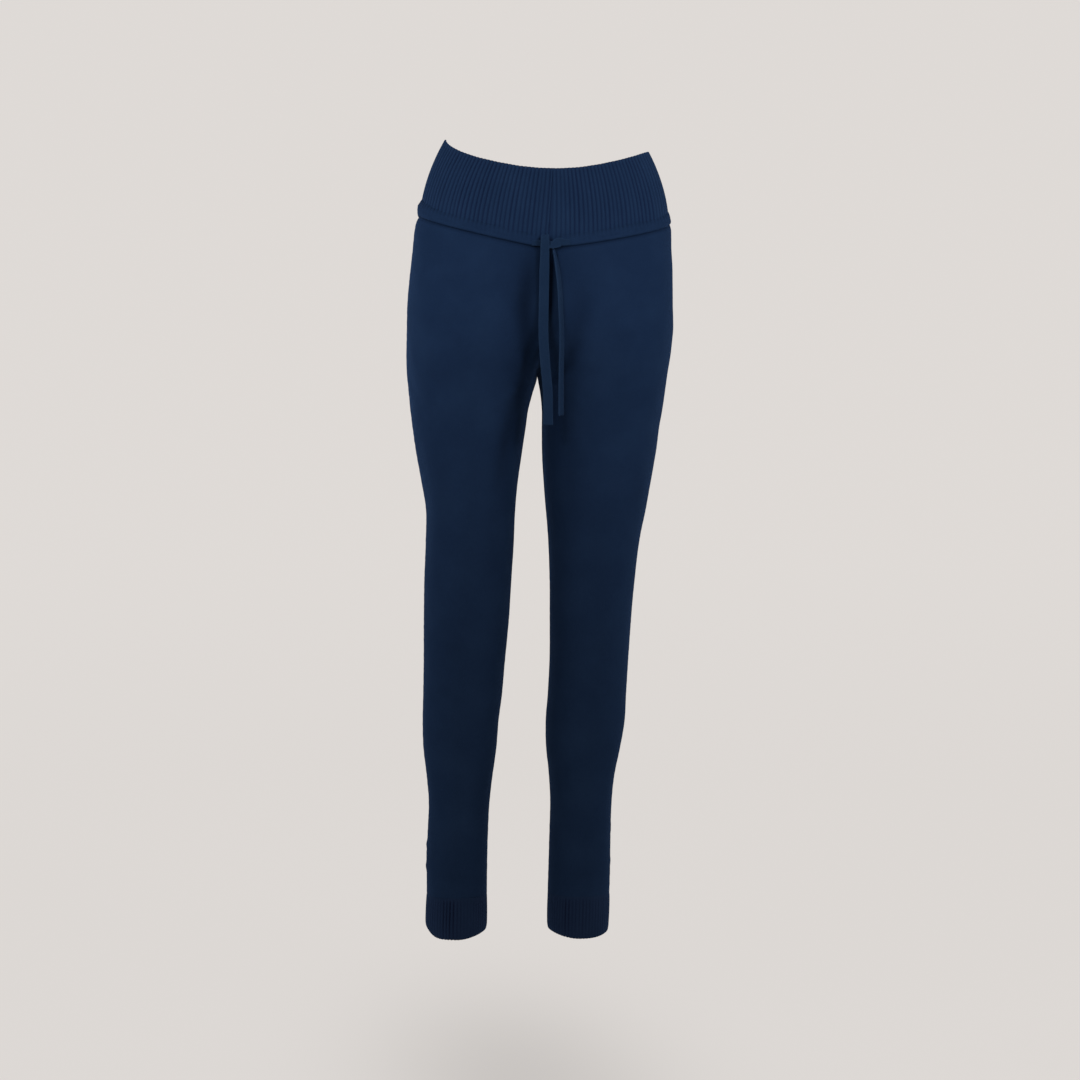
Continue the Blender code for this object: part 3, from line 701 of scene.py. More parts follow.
def pucker(distance, down, seed):
    """Small ripples across a seam, fading with the distance from it."""
    chance = np.random.default_rng(seed)
    wave = np.zeros_like(down)
    for period in PUCKER_PERIODS:
        phase = chance.uniform(0, 2 * math.pi)
        drift = chance.uniform(*PUCKER_DRIFT)
        wander = PUCKER_WANDER * np.sin(2 * math.pi * down / drift)
        wave += np.sin(2 * math.pi * down / period + phase + wander)
    fade = np.exp(-distance / PUCKER_REACH) * (1 - np.exp(-distance / PUCKER_CLEAR))
    return PUCKER_DEPTH * wave / len(PUCKER_PERIODS) * fade


def seam_relief(grid, from_inner, from_side, seeds):
    """The dips and puckers along the panel's two long edges and its foot."""
    down = arc_lengths(grid, 0)
    relief = -FOOT_DIP * bell(down[-1:] - down, SEAM_DIP_WIDTH)
    for distance, seed in ((from_inner, seeds[0]), (from_side, seeds[1])):
        relief += pucker(distance, down, seed) - SEAM_DIP * bell(distance, SEAM_DIP_WIDTH)
    return relief


def seam_bumps(grid, from_side, side):
    """Small wrinkles that stand out over the side seam, the same on both panels."""
    z = grid[..., 2] / MM
    heights = sum(bump.depth * bell(z - bump.z, bump.height) for bump in SEAM_BUMPS[side])
    return heights * MM * bell(from_side, BUMP_REACH)


def rise_crease(grid, from_inner, face):
    """The cloth falls in along the rise, most of all in front, behind the hanging drawstring."""
    crease = RISE_CREASES[face]
    heights = [-crease.top, -crease.full, -crease.lasts, -crease.foot]
    fall = eased(np.interp(-grid[:, 0, 2] / MM, heights, [0, 1, 1, 0]))
    return -crease.depth * MM * fall[:, None] * bell(from_inner, crease.width * MM, crease.sharp)


print("seams dip", SEAM_DIP / MM, "mm")

# %% Creases of each panel
FRONT_RIGHT_FOLDS = [
    # x     z   turn length width depth bow
    Fold(-35, -182, 83, 200, 13, -5.1, 4),
    Fold(-49, -322, 87, 200, 16, -3.2, 3),
    Fold(-34, -245, 85, 90, 9, -1.2, 0),
    Fold(-62, -361, 86, 110, 10, -0.9, 0),
    Fold(-76, -235, 82, 190, 17, 1.2, 6),
    Fold(-134, -192, 8, 62, 7, -0.5, 3),
    Fold(-150, -226, -14, 50, 8, 0.4, -3),
    Fold(-36, -276, 40, 60, 6, -0.4, 4),
    Fold(-62, -296, 30, 74, 7, 0.4, 5),
    Fold(-96, -352, 84, 170, 20, 0.7, 4),
    Fold(-140, -420, 80, 160, 16, -0.8, -4),
    Fold(-70, -470, 86, 190, 15, -0.6, 4),
    Fold(-118, -612, -12, 70, 9, -0.7, 4),
    Fold(-96, -640, 10, 84, 10, 0.6, -4),
    Fold(-130, -668, -18, 60, 8, -0.6, 4),
    Fold(-118, -800, 84, 150, 12, 0.5, 3),
    Fold(-150, -850, 6, 26, 4.5, -0.9, 2),
    Fold(-150, -864, -8, 30, 4.5, 0.8, 2),
    Fold(-150, -880, 10, 26, 4.0, -0.8, -2),
    Fold(-120, -906, -6, 60, 6, -0.5, 3),
    Fold(-95, -915, 8, 50, 5, 0.45, -3),
]
FRONT_LEFT_FOLDS = [
    Fold(12, -250, 92, 270, 12, -2.7, -3),
    Fold(50, -240, 97, 190, 16, 1.0, -5),
    Fold(92, -208, 6, 56, 7, -0.5, -3),
    Fold(120, -190, -10, 60, 8, 0.5, 3),
    Fold(118, -174, -18, 44, 6, -0.45, 3),
    Fold(30, -286, 142, 58, 6, -0.3, -4),
    Fold(22, -370, 93, 200, 15, -0.8, -3),
    Fold(84, -360, 96, 170, 20, 0.7, -4),
    Fold(112, -440, 100, 150, 15, -0.7, 4),
    Fold(50, -480, 93, 190, 15, -0.6, -4),
    Fold(62, -604, 12, 76, 9, -0.6, -4),
    Fold(40, -632, -8, 70, 9, 0.6, 4),
    Fold(74, -662, 16, 60, 8, -0.6, -4),
    Fold(50, -790, 95, 150, 12, 0.5, -3),
    Fold(70, -870, -8, 36, 5, -0.6, 2),
    Fold(40, -900, 6, 60, 6, -0.5, -3),
    Fold(56, -914, -6, 50, 5, 0.45, 3),
]
BACK_RIGHT_FOLDS = [
    Fold(-30, -186, 78, 150, 14, -1.3, 5),
    Fold(-88, -262, 14, 110, 9, -1.9, -7),
    Fold(-96, -280, 10, 100, 9, 1.5, -6),
    Fold(-74, -300, 20, 86, 8, -1.2, -5),
    Fold(-120, -322, 4, 60, 8, -0.7, -4),
    Fold(-60, -400, 84, 170, 16, -0.8, 4),
    Fold(-120, -450, 80, 150, 16, 0.7, -4),
    Fold(-100, -590, 8, 90, 8, -1.3, -5),
    Fold(-112, -608, 4, 84, 8, 1.1, -5),
    Fold(-90, -628, -8, 80, 8, -1.1, 5),
    Fold(-118, -650, -12, 66, 8, 0.8, 4),
    Fold(-120, -780, 84, 140, 12, -0.6, 3),
    Fold(-100, -880, 8, 60, 6, -0.9, -3),
    Fold(-118, -896, -4, 66, 6, 0.8, 3),
    Fold(-96, -912, 6, 54, 5, -0.7, -3),
]
BACK_LEFT_FOLDS = [
    Fold(18, -190, 100, 140, 14, -1.2, -5),
    Fold(66, -266, 168, 104, 9, -1.8, 7),
    Fold(76, -284, 172, 96, 9, 1.4, 6),
    Fold(54, -304, 162, 80, 8, -1.1, 5),
    Fold(98, -330, 176, 56, 8, -0.7, 4),
    Fold(40, -410, 96, 160, 16, -0.8, -4),
    Fold(92, -460, 99, 150, 16, 0.7, 4),
    Fold(60, -586, 174, 84, 8, -1.2, 5),
    Fold(48, -606, 178, 80, 8, 1.0, 5),
    Fold(66, -630, 188, 76, 8, -1.0, -5),
    Fold(42, -654, 190, 60, 8, 0.8, -4),
    Fold(52, -790, 95, 140, 12, -0.6, -3),
    Fold(44, -878, 172, 56, 6, -0.8, 3),
    Fold(56, -894, 184, 62, 6, 0.8, -3),
    Fold(38, -912, 176, 50, 5, -0.7, 3),
]
print("creases:", [len(f) for f in (FRONT_RIGHT_FOLDS, FRONT_LEFT_FOLDS, BACK_RIGHT_FOLDS, BACK_LEFT_FOLDS)])

# %% How a panel stands out, wears and takes painted light and shade
WAVE_DEPTH = 0.9 * MM
WAVES_CLEAR = 22 * MM        # the waves reach their full depth this far from a long seam
WAVES_START = 30 * MM        # and this far below the waist seam
CREASES_CLEAR = 7 * MM
TUCK_REACH = 11.0 * MM       # the top edge comes out from under the tunnel over this length
SIDE_FULLNESS = 0.5 * MM     # the cloth stands out a little along the side seams
FULLNESS_WIDTH = 25 * MM
FULLNESS_STARTS = 20 * MM    # it comes up over this length below the waist seam
FULLNESS_ENDS = 40 * MM      # and dies away over this length above the cuff
RUBBED = 0.7                 # the cloth is rubbed along a line beside each seam
RUBBED_LINE = 3.2 * MM
RUBBED_WIDTH = 2.2 * MM
SEAM_SHADE = 0.8             # and painted shade darkens the seam itself
SEAM_SHADE_WIDTH = 1.0 * MM
CREASE_SHADE = 0.13 / MM     # painted shade in a crease, and a painted highlight on a ridge
# painted shade in the crease along the rise
RISE_SHADE = 0.16 / MM
RISE_DUSK = 0.20             # and a little painted shade over the whole dip between the hips
RISE_DUSK_WIDTH = 48 * MM
DUSK_FADES = (CROTCH_Z - 72 * MM, CROTCH_Z - 12 * MM)   # the heights between which it dies away
TUNNEL_SHADE = 0.5           # a dark line of painted shadow under the tunnel
TUNNEL_SHADE_WIDTH = 3.0 * MM
TUNNEL_SHADE_FADE = 50 * MM  # fades towards the side seams
TUNNEL_SHADE_LEAST = 0.1     # to this share
AHEAD = {"front": -1.0, "back": 1.0}     # which way along y each face of the garment looks
INWARD = {"right": 1.0, "left": -1.0}    # which way along x each leg's inner edge lies


def panel_relief(grid, from_inner, from_side, creased, side, seed, seam_seeds):
    """How far the cloth stands out at each point, but for the crease along the rise."""
    from_top = arc_lengths(grid, 0)
    from_seam = np.minimum(from_inner, from_side)
    relief = seam_relief(grid, from_inner, from_side, seam_seeds) + creased
    relief += seam_bumps(grid, from_side, side)
    start = ramp(from_seam, 0, WAVES_CLEAR) * ramp(from_top, 0, WAVES_START)
    relief += soft_waves(grid, seed, WAVE_DEPTH) * start
    relief -= WAIST_TUCK * (1 - ramp(from_top, 0, TUCK_REACH)) ** 2
    full = ramp(from_top, 0, FULLNESS_STARTS) * ramp(from_top[-1:] - from_top, 0, FULLNESS_ENDS)
    return relief + SIDE_FULLNESS * full * bell(from_side, FULLNESS_WIDTH)


def panel_wear_and_painted_light(grid, from_inner, from_side, creased, fallen, face):
    """Above 0 where the cloth is rubbed and pale or a highlight is painted on a ridge, and below 0 where
    shade is painted into it.
    """
    from_seam = np.minimum(from_inner, from_side)
    wear_and_painted_light = RUBBED * bell(from_seam - RUBBED_LINE, RUBBED_WIDTH)
    # painted shade in the seam itself
    wear_and_painted_light -= SEAM_SHADE * bell(from_seam, SEAM_SHADE_WIDTH)
    # in front, painted shade over the dip between the hips
    if face == "front":
        wear_and_painted_light -= RISE_DUSK * ramp(grid[:, :1, 2], *DUSK_FADES) * bell(from_inner, RISE_DUSK_WIDTH)
    # painted shade in creases and the rise, and painted highlight on ridges
    wear_and_painted_light += CREASE_SHADE * creased + RISE_SHADE * fallen
    # a line of painted shadow under the tunnel, fading towards the side seams
    under_tunnel = np.clip(from_side / TUNNEL_SHADE_FADE, TUNNEL_SHADE_LEAST, 1.0)
    return wear_and_painted_light - TUNNEL_SHADE * under_tunnel * bell(arc_lengths(grid, 0), TUNNEL_SHADE_WIDTH)


print("the waves are", WAVE_DEPTH / MM, "mm deep")

# %% Sewing a panel's cloth
def leg_panel(side, face, folds, seed, seam_seeds):
    """One panel: its plain face pushed out by its relief, and a second face one wall further in."""
    grid, from_inner, from_side = panel_grid(side, face)
    ahead, inward = AHEAD[face], INWARD[side]
    normals = outward_normals(grid, np.array([0.0, ahead, 0.0]))
    # the edges' thickness stays in the plane of their seam
    normals[:, 0, 0] = inward * np.maximum(inward * normals[:, 0, 0], 0.0)
    normals[HIP_ROWS:, 0] = (inward, 0.0, 0.0)
    normals[:, -1] = (-inward, 0.0, 0.0)
    normals = unit(normals)
    creased = fold_relief(grid, folds) * ramp(np.minimum(from_inner, from_side), 0, CREASES_CLEAR)
    fallen = rise_crease(grid, from_inner, face)
    relief = fallen + panel_relief(grid, from_inner, from_side, creased, side, seed, seam_seeds)
    wear_and_painted_light = panel_wear_and_painted_light(grid, from_inner, from_side, creased, fallen, face)
    hips = slice(HIP_ROWS + 1)
    push = normals.copy()
    push[hips, :, 0] *= ramp(from_inner[hips], 0, RISE_STRAIGHTENS)
    grid[0, :, 2] -= SEAM_GAP / 2
    grid[-1, :, 2] += SEAM_GAP / 2
    grid[hips, 0, 0] -= inward * SEAM_GAP / 2
    grid[HIP_ROWS:, 0, 1] += ahead * SEAM_GAP / 2
    grid[:, -1, 1] += ahead * SEAM_GAP / 2
    outer = grid + push * relief[..., None]
    inner = outer - normals * JERSEY_WALL
    inner[(0, -1), :, 2] = outer[(0, -1), :, 2]
    piece = wall_piece(f"{face}_{side}_cloth", outer, inner, wear_and_painted_light)
    hand_over(piece, f"{face}_{side}", "jersey_knit")


leg_panel("right", "front", FRONT_RIGHT_FOLDS, 11, (1, 2))
leg_panel("left", "front", FRONT_LEFT_FOLDS, 12, (3, 4))
leg_panel("right", "back", BACK_RIGHT_FOLDS, 13, (1, 2))
leg_panel("left", "back", BACK_LEFT_FOLDS, 14, (3, 4))

# %% [markdown]
# ## Ribs
#
# Waistband and cuffs are rib knit: upright ribs with narrow grooves between them, folded double at the rim
# and at the hems. Each rib gets eight columns of points, close together in its groove, and the ribs differ
# slightly in width and depth, because a knitted rib always does. The fold at the free edge is modelled as a
# half circle, so that the ribs run over it and the edge has its real thickness. The grooves carry painted
# shade. The waistband is stretched towards the sides, so there its ribs are wider, and a painted highlight
# makes them paler. They flatten out where the tunnel is sewn on.

# %% The shape of a rib
RIB_PHASES = np.array([0.0, 0.09, 0.20, 0.34, 0.5, 0.66, 0.80, 0.91])
RIB_VARIES = 0.06            # how unevenly wide the ribs are
GROOVE_WIDTH = 0.20          # of a rib's spacing
GROOVE_OPENS = 0.9           # how much deeper the grooves look where the ribs are stretched
STRETCH_FROM = 0.5           # ribs are stretched from this share of the way out to the two ends
FOLD_TURNS = np.radians([20, 40, 60, 80])
FOLD_ROWS = len(FOLD_TURNS)


def rib_columns(count, seed, side_stretch=0.0, uneven=0.10, skew=0.0):
    """Where the columns lie, from 0 to 1 across all the ribs, with each column's groove and its rib. The
    ribs may be stretched wider towards the two ends, where their grooves open up too, and skew makes them
    wider at one end than at the other."""
    chance = np.random.default_rng(seed)
    widths = 1 + RIB_VARIES * chance.standard_normal(count)
    widths *= np.linspace(1 - skew, 1 + skew, count)
    widths *= 1 + side_stretch * eased(ramp(np.abs(np.linspace(-1, 1, count)), STRETCH_FROM, 1.0))
    starts = np.concatenate([[0.0], np.cumsum(widths)]) / np.sum(widths)
    phases = np.tile(RIB_PHASES, count)
    rib = np.repeat(np.arange(count), len(RIB_PHASES))
    place = starts[rib] + phases * np.diff(starts)[rib]
    open_up = side_stretch * np.abs(2 * place - 1) ** 2
    groove = bell(np.minimum(phases, 1 - phases), GROOVE_WIDTH * (1 + open_up)) * (1 + GROOVE_OPENS * open_up)
    strength = 1 + np.clip(uneven * chance.standard_normal(count + 1), -2 * uneven, 2 * uneven)
    near = np.where(phases < 0.5, rib, rib + 1)
    return place, groove * strength[near], rib + phases


def folded_edge(outer_edge, inner_edge, up):
    """Rows of points over a folded edge, between the two sheets: half of them belong to each sheet."""
    middle = (outer_edge + inner_edge) / 2
    out = (outer_edge - inner_edge) / 2
    rise = up * np.linalg.norm(out, axis=1, keepdims=True)
    turns = [*FOLD_TURNS, *(math.pi - FOLD_TURNS[::-1])]
    rows = [middle + out * math.cos(turn) + rise * math.sin(turn) for turn in turns]
    return rows[:FOLD_ROWS], rows[FOLD_ROWS:]


print("ribs have", len(RIB_PHASES), "columns each")

# %% The waistband's sizes
WAIST_RIBS = 68              # in each half
WAIST_SIDE_STRETCH = 0.5     # the ribs are pulled wider near the sides
WAIST_SKEW = 0.06            # and a little wider on the wearer's left
WAIST_RIB_DEPTH = 0.90 * MM
BAND_SHARES = np.concatenate([np.linspace(0.014, 0.80, 30), np.linspace(0.82, 1.0, 9)])
FINE_TURNS = 2001            # turns at which the band's length is measured
RIM_RIB_SHARE = 0.3          # how much of the ribs' depth is left at the rim
RIM_CALM = 0.07              # the share down the band where they reach their full depth
INNER_RIB_SHARE = 0.5        # the ribs are shallower inside
RIB_FADE = (0.62, 0.93)      # shares down the band over which the ribs flatten out under the tunnel
RIB_UNEVEN = 0.10            # each groove is now deeper, now shallower on its way down
RIB_UNEVEN_TURNS = 17
Ripple = namedtuple("Ripple", "depth per_rib down start")
BAND_RIPPLES = [Ripple(0.25 * MM, 0.41, 3, 0.0), Ripple(0.18 * MM, 1.13, -5, 1.0)]
BAND_SEAM_DIP = 0.5 * MM
BAND_SEAM_WIDTH = 2.0 * MM
RIPPLES_CLEAR = 12 * MM      # the ripples fade out this near the side seams
CREST_PALE = 0.42            # the ribs' crests are rubbed
GROOVE_SHADE = 1.15          # and painted shade darkens their grooves
BAND_SIDE_PALE = 0.5         # a painted highlight makes the ribs paler towards the sides
SIDE_PALE = (0.45, 0.90)     # shares of the way to the side over which they do
RIM_PALE = (0.4, 0.1)        # the first rows over the rim are rubbed most
RIM_PALE_ROWS = 6
MOUTH_SHADE = 0.9            # painted shade on the band where it shows between the tunnel's mouths
MOUTH_MIDDLE = -4.0 * MM
MOUTH_WIDTH = 8.0 * MM
MOUTH_TOP = (0.90, 0.93)     # shares down the band over which the shade comes in


def even_turns(face, places):
    """The turns at which columns fall when they are spread evenly along the middle of the band."""
    fine = np.linspace(0, 180, FINE_TURNS)
    length = arc_lengths(band_grid(face, np.array([0.5]), fine), 1)[0]
    return np.interp(places * length[-1], length, fine), float(length[-1])


def band_relief(groove, rib, seed):
    """How far the ribs stand out: in each row, -1 would be the bottom of a full groove."""
    chance = np.random.default_rng(seed)
    down = BAND_SHARES[:, None]
    wander = chance.uniform(0, 1.5, len(rib))[None, :]
    unevenness = 1 + RIB_UNEVEN * np.sin(down * RIB_UNEVEN_TURNS + wander)
    flatter = RIM_RIB_SHARE + (1 - RIM_RIB_SHARE) * ramp(down, 0, RIM_CALM)
    return -groove[None, :] * (1 - ramp(down, *RIB_FADE)) * flatter * unevenness


def band_ripples(rib):
    """Soft waves that run slantwise over the ribs."""
    down = BAND_SHARES[:, None]
    return sum(r.depth * np.sin(rib[None, :] * r.per_rib + r.start + r.down * down) for r in BAND_RIPPLES)


def band_wear_and_painted_light(face, outer, place, groove):
    """Rubbed crests, a pale rim, a painted highlight at the sides, and painted shade in the grooves and, in
    front, between the tunnel's mouths.
    """
    # a painted highlight towards the sides, and painted shade in the grooves
    paler = BAND_SIDE_PALE * eased(ramp(np.abs(2 * place - 1), *SIDE_PALE))
    wear_and_painted_light = np.broadcast_to(CREST_PALE + paler - GROOVE_SHADE * groove, outer.shape[:2]).copy()
    wear_and_painted_light[:RIM_PALE_ROWS] += np.linspace(*RIM_PALE, RIM_PALE_ROWS)[:, None]
    # painted shade on the band between the tunnel's mouths
    if face == "front":
        between = bell(outer[FOLD_ROWS:, :, 0] - MOUTH_MIDDLE, MOUTH_WIDTH, 4)
        wear_and_painted_light[FOLD_ROWS:] -= MOUTH_SHADE * ramp(BAND_SHARES, *MOUTH_TOP)[:, None] * between
    return wear_and_painted_light


print("the waistband has", 2 * WAIST_RIBS, "ribs")

# %% The waistband
rib_lines = {}


def waistband(face, seed):
    """One half of the band: two ribbed faces with a fold at the rim."""
    place, groove, rib = rib_columns(WAIST_RIBS, seed, WAIST_SIDE_STRETCH, skew=WAIST_SKEW)
    place, groove, rib = np.append(place, 1.0), np.append(groove, groove[0]), np.append(rib, WAIST_RIBS)
    turns, length = even_turns(face, place)
    rib_lines[face] = (turns, groove)
    outer = band_grid(face, BAND_SHARES, turns)
    normals = outward_normals(outer, np.array([0.0, AHEAD[face], 0.0]))
    normals[:, (0, -1), 1] = 0.0
    normals = unit(normals)
    outer[:, (0, -1), 1] += AHEAD[face] * SEAM_GAP / 2
    outer[-1, :, 2] += SEAM_GAP / 2
    relief = WAIST_RIB_DEPTH * band_relief(groove, rib, seed + 50)
    from_side = np.minimum(place, 1 - place)[None, :] * length
    waves = band_ripples(rib) * ramp(from_side, 0, RIPPLES_CLEAR)
    waves -= BAND_SEAM_DIP * bell(from_side, BAND_SEAM_WIDTH)
    inner = outer - normals * (RIB_WALL + (relief * INNER_RIB_SHARE - waves)[..., None])
    outer = outer + normals * (relief + waves)[..., None]
    over, under = folded_edge(outer[0], inner[0], unit(outer[0] - outer[1]))
    inner[-1, :, 2] = outer[-1, :, 2]
    outer = np.concatenate([over[::-1], outer])
    inner = np.concatenate([under, inner])
    wear_and_painted_light = band_wear_and_painted_light(face, outer, place, groove)
    piece = wall_piece(f"waistband_{face}_rib", outer, inner, wear_and_painted_light, across=rib * length / WAIST_RIBS)
    hand_over(piece, f"waistband_{face}", "rib_knit")


waistband("front", 21)
waistband("back", 22)

# %% [markdown]
# ## The drawstring's tunnel
#
# A plain strip of jersey is sewn round the foot of the waistband, and the drawstring runs inside it. It
# puffs out a little because the tape fills it, most of all at the wearer's right side, and a faint furrow
# shows where the cloth lies over the tape's lower edge; the furrow and the gathers carry painted shade. Its
# upper edge is gathered unevenly onto the ribs, and its lower edge hangs just over the waist seam, which
# casts a sharp dark line under it, deepened by a line of painted shadow on the panels.

# %% The tunnel's sizes
BAND_FOOT = (0.8, 1.0)       # shares down the band that give the tunnel's slope
TUNNEL_HEIGHT = 14.5 * MM
TUNNEL_PROUD = 2.9 * MM
TUNNEL_DROOP = 0.6 * MM      # how far the lower edge hangs over the seam
DROOP_LESS = 0.9             # by how much less at the two sides
DROOP_LATE = 6               # and how near to them that starts
TUNNEL_GAP = 0.3 * MM
TUNNEL_RIB = 0.55 * MM       # the ribs under the tunnel's upper edge show through it
TUNNEL_PUFF = 0.13           # how unevenly full it is
PUFF_SHARES = (0.3, 0.9)     # how much of that shows at its foot, and how much is added at its upper edge
TUNNEL_EDGE = 0.42 * MM      # how uneven its upper edge is
TAPE_LINE = 0.35 * MM        # a faint furrow where the cloth lies over the tape's lower edge
TAPE_LINE_PLACE = 0.34       # its share up the tunnel
TAPE_LINE_WIDTH = 0.10
TAPE_LINE_VARIES = 0.25
TUNNEL_FULLER = 2.4 * MM     # at the wearer's right side the tunnel is fuller
TUNNEL_TALLER = 0.4          # and taller
FULLEST = 0.55               # and fullest this share up
FULLEST_WIDTH = 0.3
FULLER_LATE = 8              # how near to the side that starts
TUNNEL_RUBBED = 0.3          # its front is rubbed, and the gathers and the furrow carry painted shade
RUBBED_UP = 0.35             # most of all this share up
RUBBED_SPREAD = 0.25
GATHER_SHADE = 0.45
MOUTHS = (-20.0 * MM, 7.3 * MM)
TUNNEL_STATIONS = 1100
TUNNEL_FINE = 4000           # turns at which the length round the band's foot is measured
TUNNEL_SIDES = 22
TIP_ROUND = 0.72             # the section: how round its upper and lower tips are,
FRONT_BOXY = 0.62            # how squarely its front is puffed,
FRONT_LEANS = 0.88           # how much flatter it is towards its upper edge,
BACK_BULGE = 0.04            # and how far its flat back bulges the other way
GATHER_WANDERS = 1.7
Gather = namedtuple("Gather", "period share")      # the period in metres
GATHERS = [Gather(0.0091, 0.5), Gather(0.0148, 0.5), Gather(0.031, 0.6), Gather(0.083, 0.6)]


def tunnel_section():
    """(up, out) round the section, each from 0 to 1. The back is flat and the front is puffed. It starts at
    the upper tip, goes down the front and returns up the back."""
    turn = np.arange(TUNNEL_SIDES) * 2 * math.pi / TUNNEL_SIDES
    up = 0.5 + 0.5 * power(np.cos(turn), TIP_ROUND)
    puffed = np.maximum(np.sin(turn), 0.0) ** FRONT_BOXY
    flat = -BACK_BULGE * np.maximum(-np.sin(turn), 0.0)
    return up, puffed * (1 - FRONT_LEANS * up**1.5) + flat


def foot_grid(around):
    """Points at BAND_FOOT for turns all round: 0 to 180 is the front, and 180 to 360 the back."""
    shares = np.array(BAND_FOOT)
    grid = np.empty((len(shares), len(around), 3))
    on_front = around <= 180.0
    grid[:, on_front] = band_grid("front", shares, around[on_front])
    grid[:, ~on_front] = band_grid("back", shares, 360.0 - around[~on_front])
    return grid


def tunnel_stations():
    """Even places along the band's foot, from one mouth over the left side, the back and the right side to
    the other mouth, with the turn at each."""
    fine = (np.linspace(0, 360, TUNNEL_FINE, endpoint=False) + 90.0) % 360.0
    foot = foot_grid(fine)[1]
    closed = np.concatenate([foot, foot[:1]])
    length = line_lengths(closed)
    turn = np.unwrap(np.radians([*fine, fine[0] + 360.0]))
    near = TUNNEL_FINE // 10
    start = float(np.interp(MOUTHS[1], closed[:near, 0], length[:near]))
    end = float(np.interp(MOUTHS[0], closed[-near:, 0], length[-near:]))
    place = np.linspace(start, end, TUNNEL_STATIONS)
    return place, np.degrees(np.interp(place, length, turn)) % 360.0


def gathers(place):
    """How full the tunnel is, and how high its upper edge lies, along its length."""
    chance = np.random.default_rng(31)
    puff = np.zeros_like(place)
    edge = np.zeros_like(place)
    for gather in GATHERS:
        phase = chance.uniform(0, 2 * math.pi, 2)
        along = 2 * math.pi * place / gather.period
        wander = GATHER_WANDERS * np.sin(along / 5.3 + phase[1])
        puff += gather.share * np.sin(along + phase[0] + wander)
        edge += gather.share * np.sin(along / 1.21 + phase[1] - wander)
    return puff[:, None], edge[:, None]


print("the tunnel's mouths are", round((MOUTHS[1] - MOUTHS[0]) / MM, 1), "mm apart")

# %% The tunnel
def tunnel():
    """One tube from mouth to mouth: its puffed section at each station, set square to the band's foot."""
    place, around = tunnel_stations()
    upper, foot = foot_grid(around)
    down = unit(foot - upper)
    out = unit(np.cross(np.gradient(foot, axis=0), down))
    out *= np.sign(np.sum(out * (foot - foot.mean(axis=0)), axis=1, keepdims=True))
    puff, edge = gathers(place)
    up, proud = tunnel_section()
    in_front = proud > 0.02      # neither the two tips nor the flat back
    gathered = up**2
    groove = np.where(around <= 180.0, np.interp(around, *rib_lines["front"]),
                      np.interp(360.0 - around, *rib_lines["back"]))[:, None]
    side = np.cos(np.radians(around))[:, None]
    fuller = np.clip(side, 0.0, 1.0) ** FULLER_LATE
    pressed = bell(up - TAPE_LINE_PLACE, TAPE_LINE_WIDTH) * in_front
    pressed = pressed * (1 - TAPE_LINE_VARIES + TAPE_LINE_VARIES * np.clip(puff, -1.0, 1.0))
    height = TUNNEL_HEIGHT * up + TUNNEL_EDGE * edge * gathered
    height -= TUNNEL_DROOP * (1 - DROOP_LESS * np.abs(side) ** DROOP_LATE) * (1 - up) ** 2 * in_front
    height *= 1 + TUNNEL_TALLER * fuller
    relief = TUNNEL_PROUD * proud * (1 + TUNNEL_PUFF * puff * (PUFF_SHARES[0] + PUFF_SHARES[1] * gathered))
    relief -= TUNNEL_RIB * groove * gathered * in_front + TAPE_LINE * pressed
    relief += TUNNEL_FULLER * fuller * bell(up - FULLEST, FULLEST_WIDTH) * in_front
    rings = foot[:, None] - down[:, None] * height[..., None]
    rings += out[:, None] * (TUNNEL_GAP + relief)[..., None]
    wear_and_painted_light = TUNNEL_RUBBED * bell(up - RUBBED_UP, RUBBED_SPREAD) * in_front
    # painted shade in the gathers and in the furrow over the tape's edge
    wear_and_painted_light = wear_and_painted_light - GATHER_SHADE * (groove * gathered + pressed)
    piece = tube_piece("casing_cloth", [rings], wear_and_painted_light.ravel())
    hand_over(piece, "drawstring_casing", "jersey_knit")


tunnel()

# %% [markdown]
# ## The cuffs
#
# Each cuff is a short tube of rib with a seam at its top and a fold at its hem, a little longer in front.
# Its ribs are relaxed, so they are narrow and shallow, and they show most on one side of the shin. The hem
# is drawn in and thinner than the rest.

# %% The cuffs' sizes
CUFF_RIBS = 58
CUFF_RIB_DEPTH = 0.7 * MM
CUFF_SHARES = np.concatenate([[0.0, 0.012, 0.03, 0.055], np.linspace(0.09, 0.97, 18)])
CUFF_UNEVEN = 0.35           # how much the grooves differ in depth
CUFF_SEAM_DIP = 0.15 * MM
CUFF_SEAM_WIDTH = 0.03       # of the cuff's height
CUFF_STRONG = {"right": 113, "left": 70}   # the turn where the ribs stand out most, and again behind
CUFF_STRONG_WIDTH = 22       # degrees
CUFF_WEAK = 0.6              # how deep the other ribs are, as a share
CUFF_START = 0.14            # the ribs come up gradually over this share of the cuff
CUFF_CALM = 0.45             # and are this much shallower at the hem
CUFF_SWELL = 0.5 * MM        # the cuff is fullest halfway down
CUFF_WAVE = 0.3 * MM
CUFF_WAVES = 3               # soft waves all round
CUFF_PALE = -0.06            # the whole cuff is mixed a little towards the painted shade colour, darker than the waistband
# painted shade in the cuff's grooves
CUFF_GROOVE_SHADE = 0.55
HEM_TUCK = 1.2 * MM          # the hem is drawn in
HEM_THINNING = 0.8 * MM
HEM_START = 0.8              # from this share of the cuff on
# outer and inner are how late the hem lifts towards each side of the cuff
Hem = namedtuple("Hem", "outer_z inner_z front_z back_z outer inner")
HEMS = {
    "right": Hem(-972.8, -975.9, -984.7, -978.0, 6.0, 1.6),
    "left": Hem(-980.0, -977.6, -985.5, -979.0, 3.2, 2.0),
}


